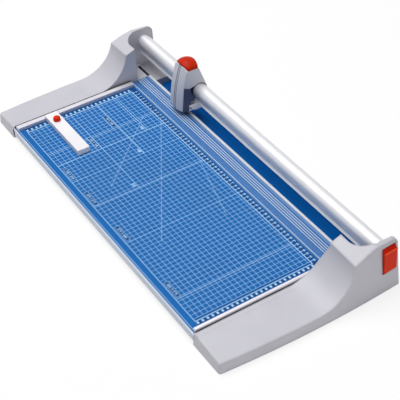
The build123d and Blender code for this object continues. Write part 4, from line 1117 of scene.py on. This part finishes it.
@dataclass
class HoldDown(Assembly):
    """Clear strip with its ridges and front edge in a pale finish as painted highlights, on its two
    sprung pins.
    """

    sheet: float = 2.2
    near: float = 0.1
    front_lean: float = -0.9
    wire: float = 0.45
    wire_sides: int = 8
    turns: float = 6.0
    turn_steps: int = 20

    def build(self) -> None:
        """Dress the strip and wind the springs."""
        keep(self.finishes.zinc, "clamp_pins")
        self.strip()
        self.springs()

    def strip(self) -> None:
        """Copy the strip, with its ridges and its front edge in a pale finish as painted highlights."""
        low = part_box("clamp_strip")[0]
        form = copied("clamp_strip")
        top = low.z + self.sheet * MM
        for face in form.faces:
            middle = face.calc_center_median()
            on_ridge_highlight = middle.z > top + self.near * MM
            on_edge_highlight = face.normal.y < self.front_lean and middle.y < low.y + self.near * MM
            face.material_index = int(on_ridge_highlight or on_edge_highlight)
        piece = as_piece("hold_down_strip", form)
        settle(piece, "clamp", "clear", self.finishes.clear, self.finishes.ridge)
        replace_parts(piece, "clamp_strip")

    def coil(self) -> GrowthTree:
        """Build the tree of one spring, with its foot at the point.

        Returns:
            The tree.
        """
        names = ("Radius", "Height", "Wire", "Turns")
        tree = GrowthTree("coil_springs", {name: "NodeSocketFloat" for name in names})
        radius, height, wire, turns = (tree.given[name] for name in names)
        path = tree.node("GeometryNodeCurveSpiral", Resolution=self.turn_steps, Rotations=turns)
        tree.feed(path, Start_Radius=radius, End_Radius=radius, Height=height)
        ring = tree.node("GeometryNodeCurvePrimitiveCircle", Resolution=self.wire_sides, Radius=wire)
        coil = tree.node("GeometryNodeCurveToMesh", Curve=path.outputs["Curve"], Fill_Caps=True)
        tree.feed(coil, Profile_Curve=ring.outputs["Curve"])
        tree.close(coil.outputs["Mesh"])
        return tree

    def springs(self) -> None:
        """Wind a spring on each pin, between its collar and the fixed bush."""
        tree = self.coil()
        finish = self.finishes.zinc.material
        form = bmesh.new()
        wire = self.wire * MM
        for solid in islands("clamp_springs"):
            low, high = extent(solid)
            foot = Vector(((low.x + high.x) / 2, (low.y + high.y) / 2, low.z + wire))
            sizes = {"Radius": (high.x - low.x) / 2 - wire, "Height": high.z - low.z - 2 * wire}
            form.from_mesh(tree.grow([foot], Wire=wire, Turns=self.turns, Finish=finish, **sizes))
        low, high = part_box("clamp_springs")
        piece = as_piece("wound_springs", form)
        piece.data.materials.append(finish)
        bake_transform(piece)
        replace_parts(piece, "clamp_springs")
        LOG.info("built %s", piece.name)


@dataclass
class PaperStop(Assembly):
    """White stop bar with its red knob."""

    def build(self) -> None:
        """Dress the stop."""
        keep(self.finishes.white, "stop_bar", "stop_jaw")
        keep(self.finishes.red, "stop_knob")
        keep(self.finishes.zinc, "stop_screw")


@dataclass
class CuttingHead(Assembly):
    """Sliding head with its red cap, dark carrier, guard and blade."""

    def build(self) -> None:
        """Dress the head and set its screws."""
        worn = self.finishes
        keep(worn.shell, "head_shell_left", "head_shell_right")
        keep(worn.white, "blade_guard")
        keep(worn.spine, "head_spine")
        keep(worn.deep_red, "head_cap")
        keep(worn.dark, "blade_carrier")
        keep(worn.black, "left_rail_bush", "right_rail_bush")
        keep(worn.blade, "blade", "blade_hub")
        keep(worn.zinc, "blade_axle", "axle_nut", "spring_washer")
        self.screws.build("head_screws", "head", Axis.X, worn.zinc)


class LatchFace(IntEnum):
    """Part of a latch's surface, by the place of its finish on the piece."""

    BODY = 0
    SLOPE = 1
    RIB = 2


@dataclass
class Latches(Assembly):
    """Red latch on each end block, with a finger slope at its head and a rib under it; the slope wears
    painted shade and the rib a painted highlight.
    """

    rib_radius: float = 1.3
    rib_sides: int = 10
    flat_angle: float = math.radians(1)
    lean_low: float = 0.4
    lean_high: float = 0.95
    lean_out: float = 0.2

    def build(self) -> None:
        """Copy the latches, give their slopes a darker red as painted shade, and lay the ribs in a
        lighter red as a painted highlight.
        """
        worn = self.finishes
        for side in ("left", "right"):
            form = copied(f"{side}_latch")
            bmesh.ops.dissolve_limit(
                form, angle_limit=self.flat_angle, verts=form.verts, edges=form.edges
            )
            slope = max(form.faces, key=self.slant)
            # The finger slope wears the darker red: painted shade.
            slope.material_index = LatchFace.SLOPE
            ridge = min(slope.edges, key=lambda edge: edge.verts[0].co.z + edge.verts[1].co.z)
            self.rib(form, *(vert.co.copy() for vert in ridge.verts))
            bmesh.ops.triangulate(form, faces=form.faces)
            piece = as_piece(f"{side}_latch_ribbed", form)
            settle(piece, f"latch_{side}", "red", worn.red, worn.maroon, worn.bright_red)
            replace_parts(piece, f"{side}_latch")

    def slant(self, face: bmesh.types.BMFace) -> float:
        """Area of a face that leans both outwards and upwards, or nought."""
        leans = self.lean_low < face.normal.z < self.lean_high and abs(face.normal.x) > self.lean_out
        return face.calc_area() if leans else 0.0

    def rib(self, form: Form, start: Vector, end: Vector) -> None:
        """Lay a half-sunk round rib along a ridge.

        Args:
            form: Working mesh of the latch.
            start: One end of the ridge.
            end: The other end.
        """
        run = end - start
        radius = self.rib_radius * MM
        turn = run.to_track_quat("Z", "Y").to_matrix().to_4x4()
        place = Matrix.Translation((start + end) / 2) @ turn
        size = {"segments": self.rib_sides, "radius1": radius, "radius2": radius, "depth": run.length}
        made = bmesh.ops.create_cone(form, cap_ends=True, matrix=place, **size)
        # The rib wears the lighter red: a painted highlight.
        for face in {face for vert in made["verts"] for face in vert.link_faces}:
            face.material_index = LatchFace.RIB


@dataclass(frozen=True)
class Lamp:
    """A soft square lamp: where it hangs, what it points at, its side and its power in watts."""

    name: str
    place: Triple
    target: Triple
    side: float
    power: float

    def hang(self) -> None:
        """Hang the lamp in the scene."""
        light = bpy.data.lights.new(self.name, "AREA")
        light.size = self.side
        light.energy = self.power
        lamp = stand(self.name, light)
        lamp.location = self.place
        way = Vector(self.target) - Vector(self.place)
        lamp.rotation_euler = way.to_track_quat("-Z", "Y").to_euler()


@dataclass
class Studio:
    """White floor, soft light and the camera, in metres."""

    floor_reach: float = 12.0
    floor_drop: float = 0.3 * MM
    floor_colour: Colour = (0.9, 0.9, 0.9, 1.0)
    glow_share: float = 0.8
    room_level: float = 0.15
    room_colour: Colour = (0.96, 0.98, 1.0, 1.0)
    lamps: tuple[Lamp, ...] = (
        Lamp("key", (-1.35, -0.5, 4.6), (0.0, 0.0, 0.0), 3.6, 252.0),
        Lamp("fill", (2.6, -0.4, 0.9), (0.3, 0.0, 0.05), 1.4, 16.0),
    )
    lens: float = 103.995
    sensor: float = 36.0
    far: float = 50.0
    eye: Triple = (1.488892, -0.832516, 1.451075)
    # Columns are the camera's right, up and backward ways.
    turn: tuple[Triple, Triple, Triple] = (
        (0.5365135, -0.53389665, 0.65353472),
        (0.84288558, 0.37683165, -0.38411171),
        (-0.04119661, 0.75693611, 0.65218905),
    )

    def build(self) -> None:
        """Set up the floor, the world, the lamps and the camera."""
        self.floor()
        self.world()
        for lamp in self.lamps:
            lamp.hang()
        self.camera()

    def floor(self) -> None:
        """Lay a floor that looks white and takes a soft shadow."""
        form = bmesh.new()
        place = Matrix.Translation((0, 0, -self.floor_drop))
        bmesh.ops.create_grid(form, x_segments=1, y_segments=1, size=self.floor_reach / 2, matrix=place)
        floor = as_piece("floor", form)
        material = bpy.data.materials.new("floor_white")
        material.use_nodes = True
        board = NodeBoard(material.node_tree)
        matt = board.node("ShaderNodeBsdfDiffuse", Color=self.floor_colour)
        glow = board.node("ShaderNodeEmission", Color=WHITE, Strength=1.0)
        share = board.sum("MULTIPLY", self.seen_rays(board), self.glow_share)
        sides = (matt.outputs["BSDF"], glow.outputs["Emission"])
        mix = board.node("ShaderNodeMixShader", share, *sides)
        board.node("ShaderNodeOutputMaterial", Surface=mix.outputs["Shader"])
        floor.data.materials.append(material)

    def world(self) -> None:
        """Light the room evenly, and show it as plain white."""
        world = bpy.data.worlds.new("studio")
        bpy.context.scene.world = world
        world.use_nodes = True
        board = NodeBoard(world.node_tree)
        room = board.node("ShaderNodeBackground", Color=self.room_colour, Strength=self.room_level)
        seen = board.node("ShaderNodeBackground", Color=WHITE, Strength=1.0)
        sides = (room.outputs["Background"], seen.outputs["Background"])
        mix = board.node("ShaderNodeMixShader", self.seen_rays(board), *sides)
        board.node("ShaderNodeOutputWorld", Surface=mix.outputs["Shader"])

    def seen_rays(self, board: NodeBoard) -> Socket:
        """Mark the rays that show the background: straight, mirrored or through something clear.

        Args:
            board: Nodes of the floor or the world.

        Returns:
            One for such a ray, and nought for the rest.
        """
        rays = board.node("ShaderNodeLightPath").outputs
        total = rays["Is Camera Ray"]
        for name in ("Is Glossy Ray", "Is Transmission Ray"):
            total = board.sum("MAXIMUM", total, rays[name])
        return total

    def camera(self) -> None:
        """Stand the camera where the photograph was taken from."""
        data = bpy.data.cameras.new("camera")
        data.lens = self.lens
        data.sensor_width = self.sensor
        data.clip_end = self.far
        camera = stand("camera", data)
        camera.matrix_world = Matrix.Translation(self.eye) @ Matrix(self.turn).to_4x4()
        bpy.context.scene.camera = camera


def main() -> None:
    """Dress the machine, and light it."""
    logging.basicConfig(level=logging.INFO, format="%(message)s")
    finishes = Finishes()
    screws = Screws()
    for part in (Base, HoldDown, PaperStop, CuttingHead, Latches):
        part(finishes, screws).build()
    Studio().build()
    bpy.context.scene.view_settings.view_transform = "Standard"


if __name__ == "__main__":
    main()
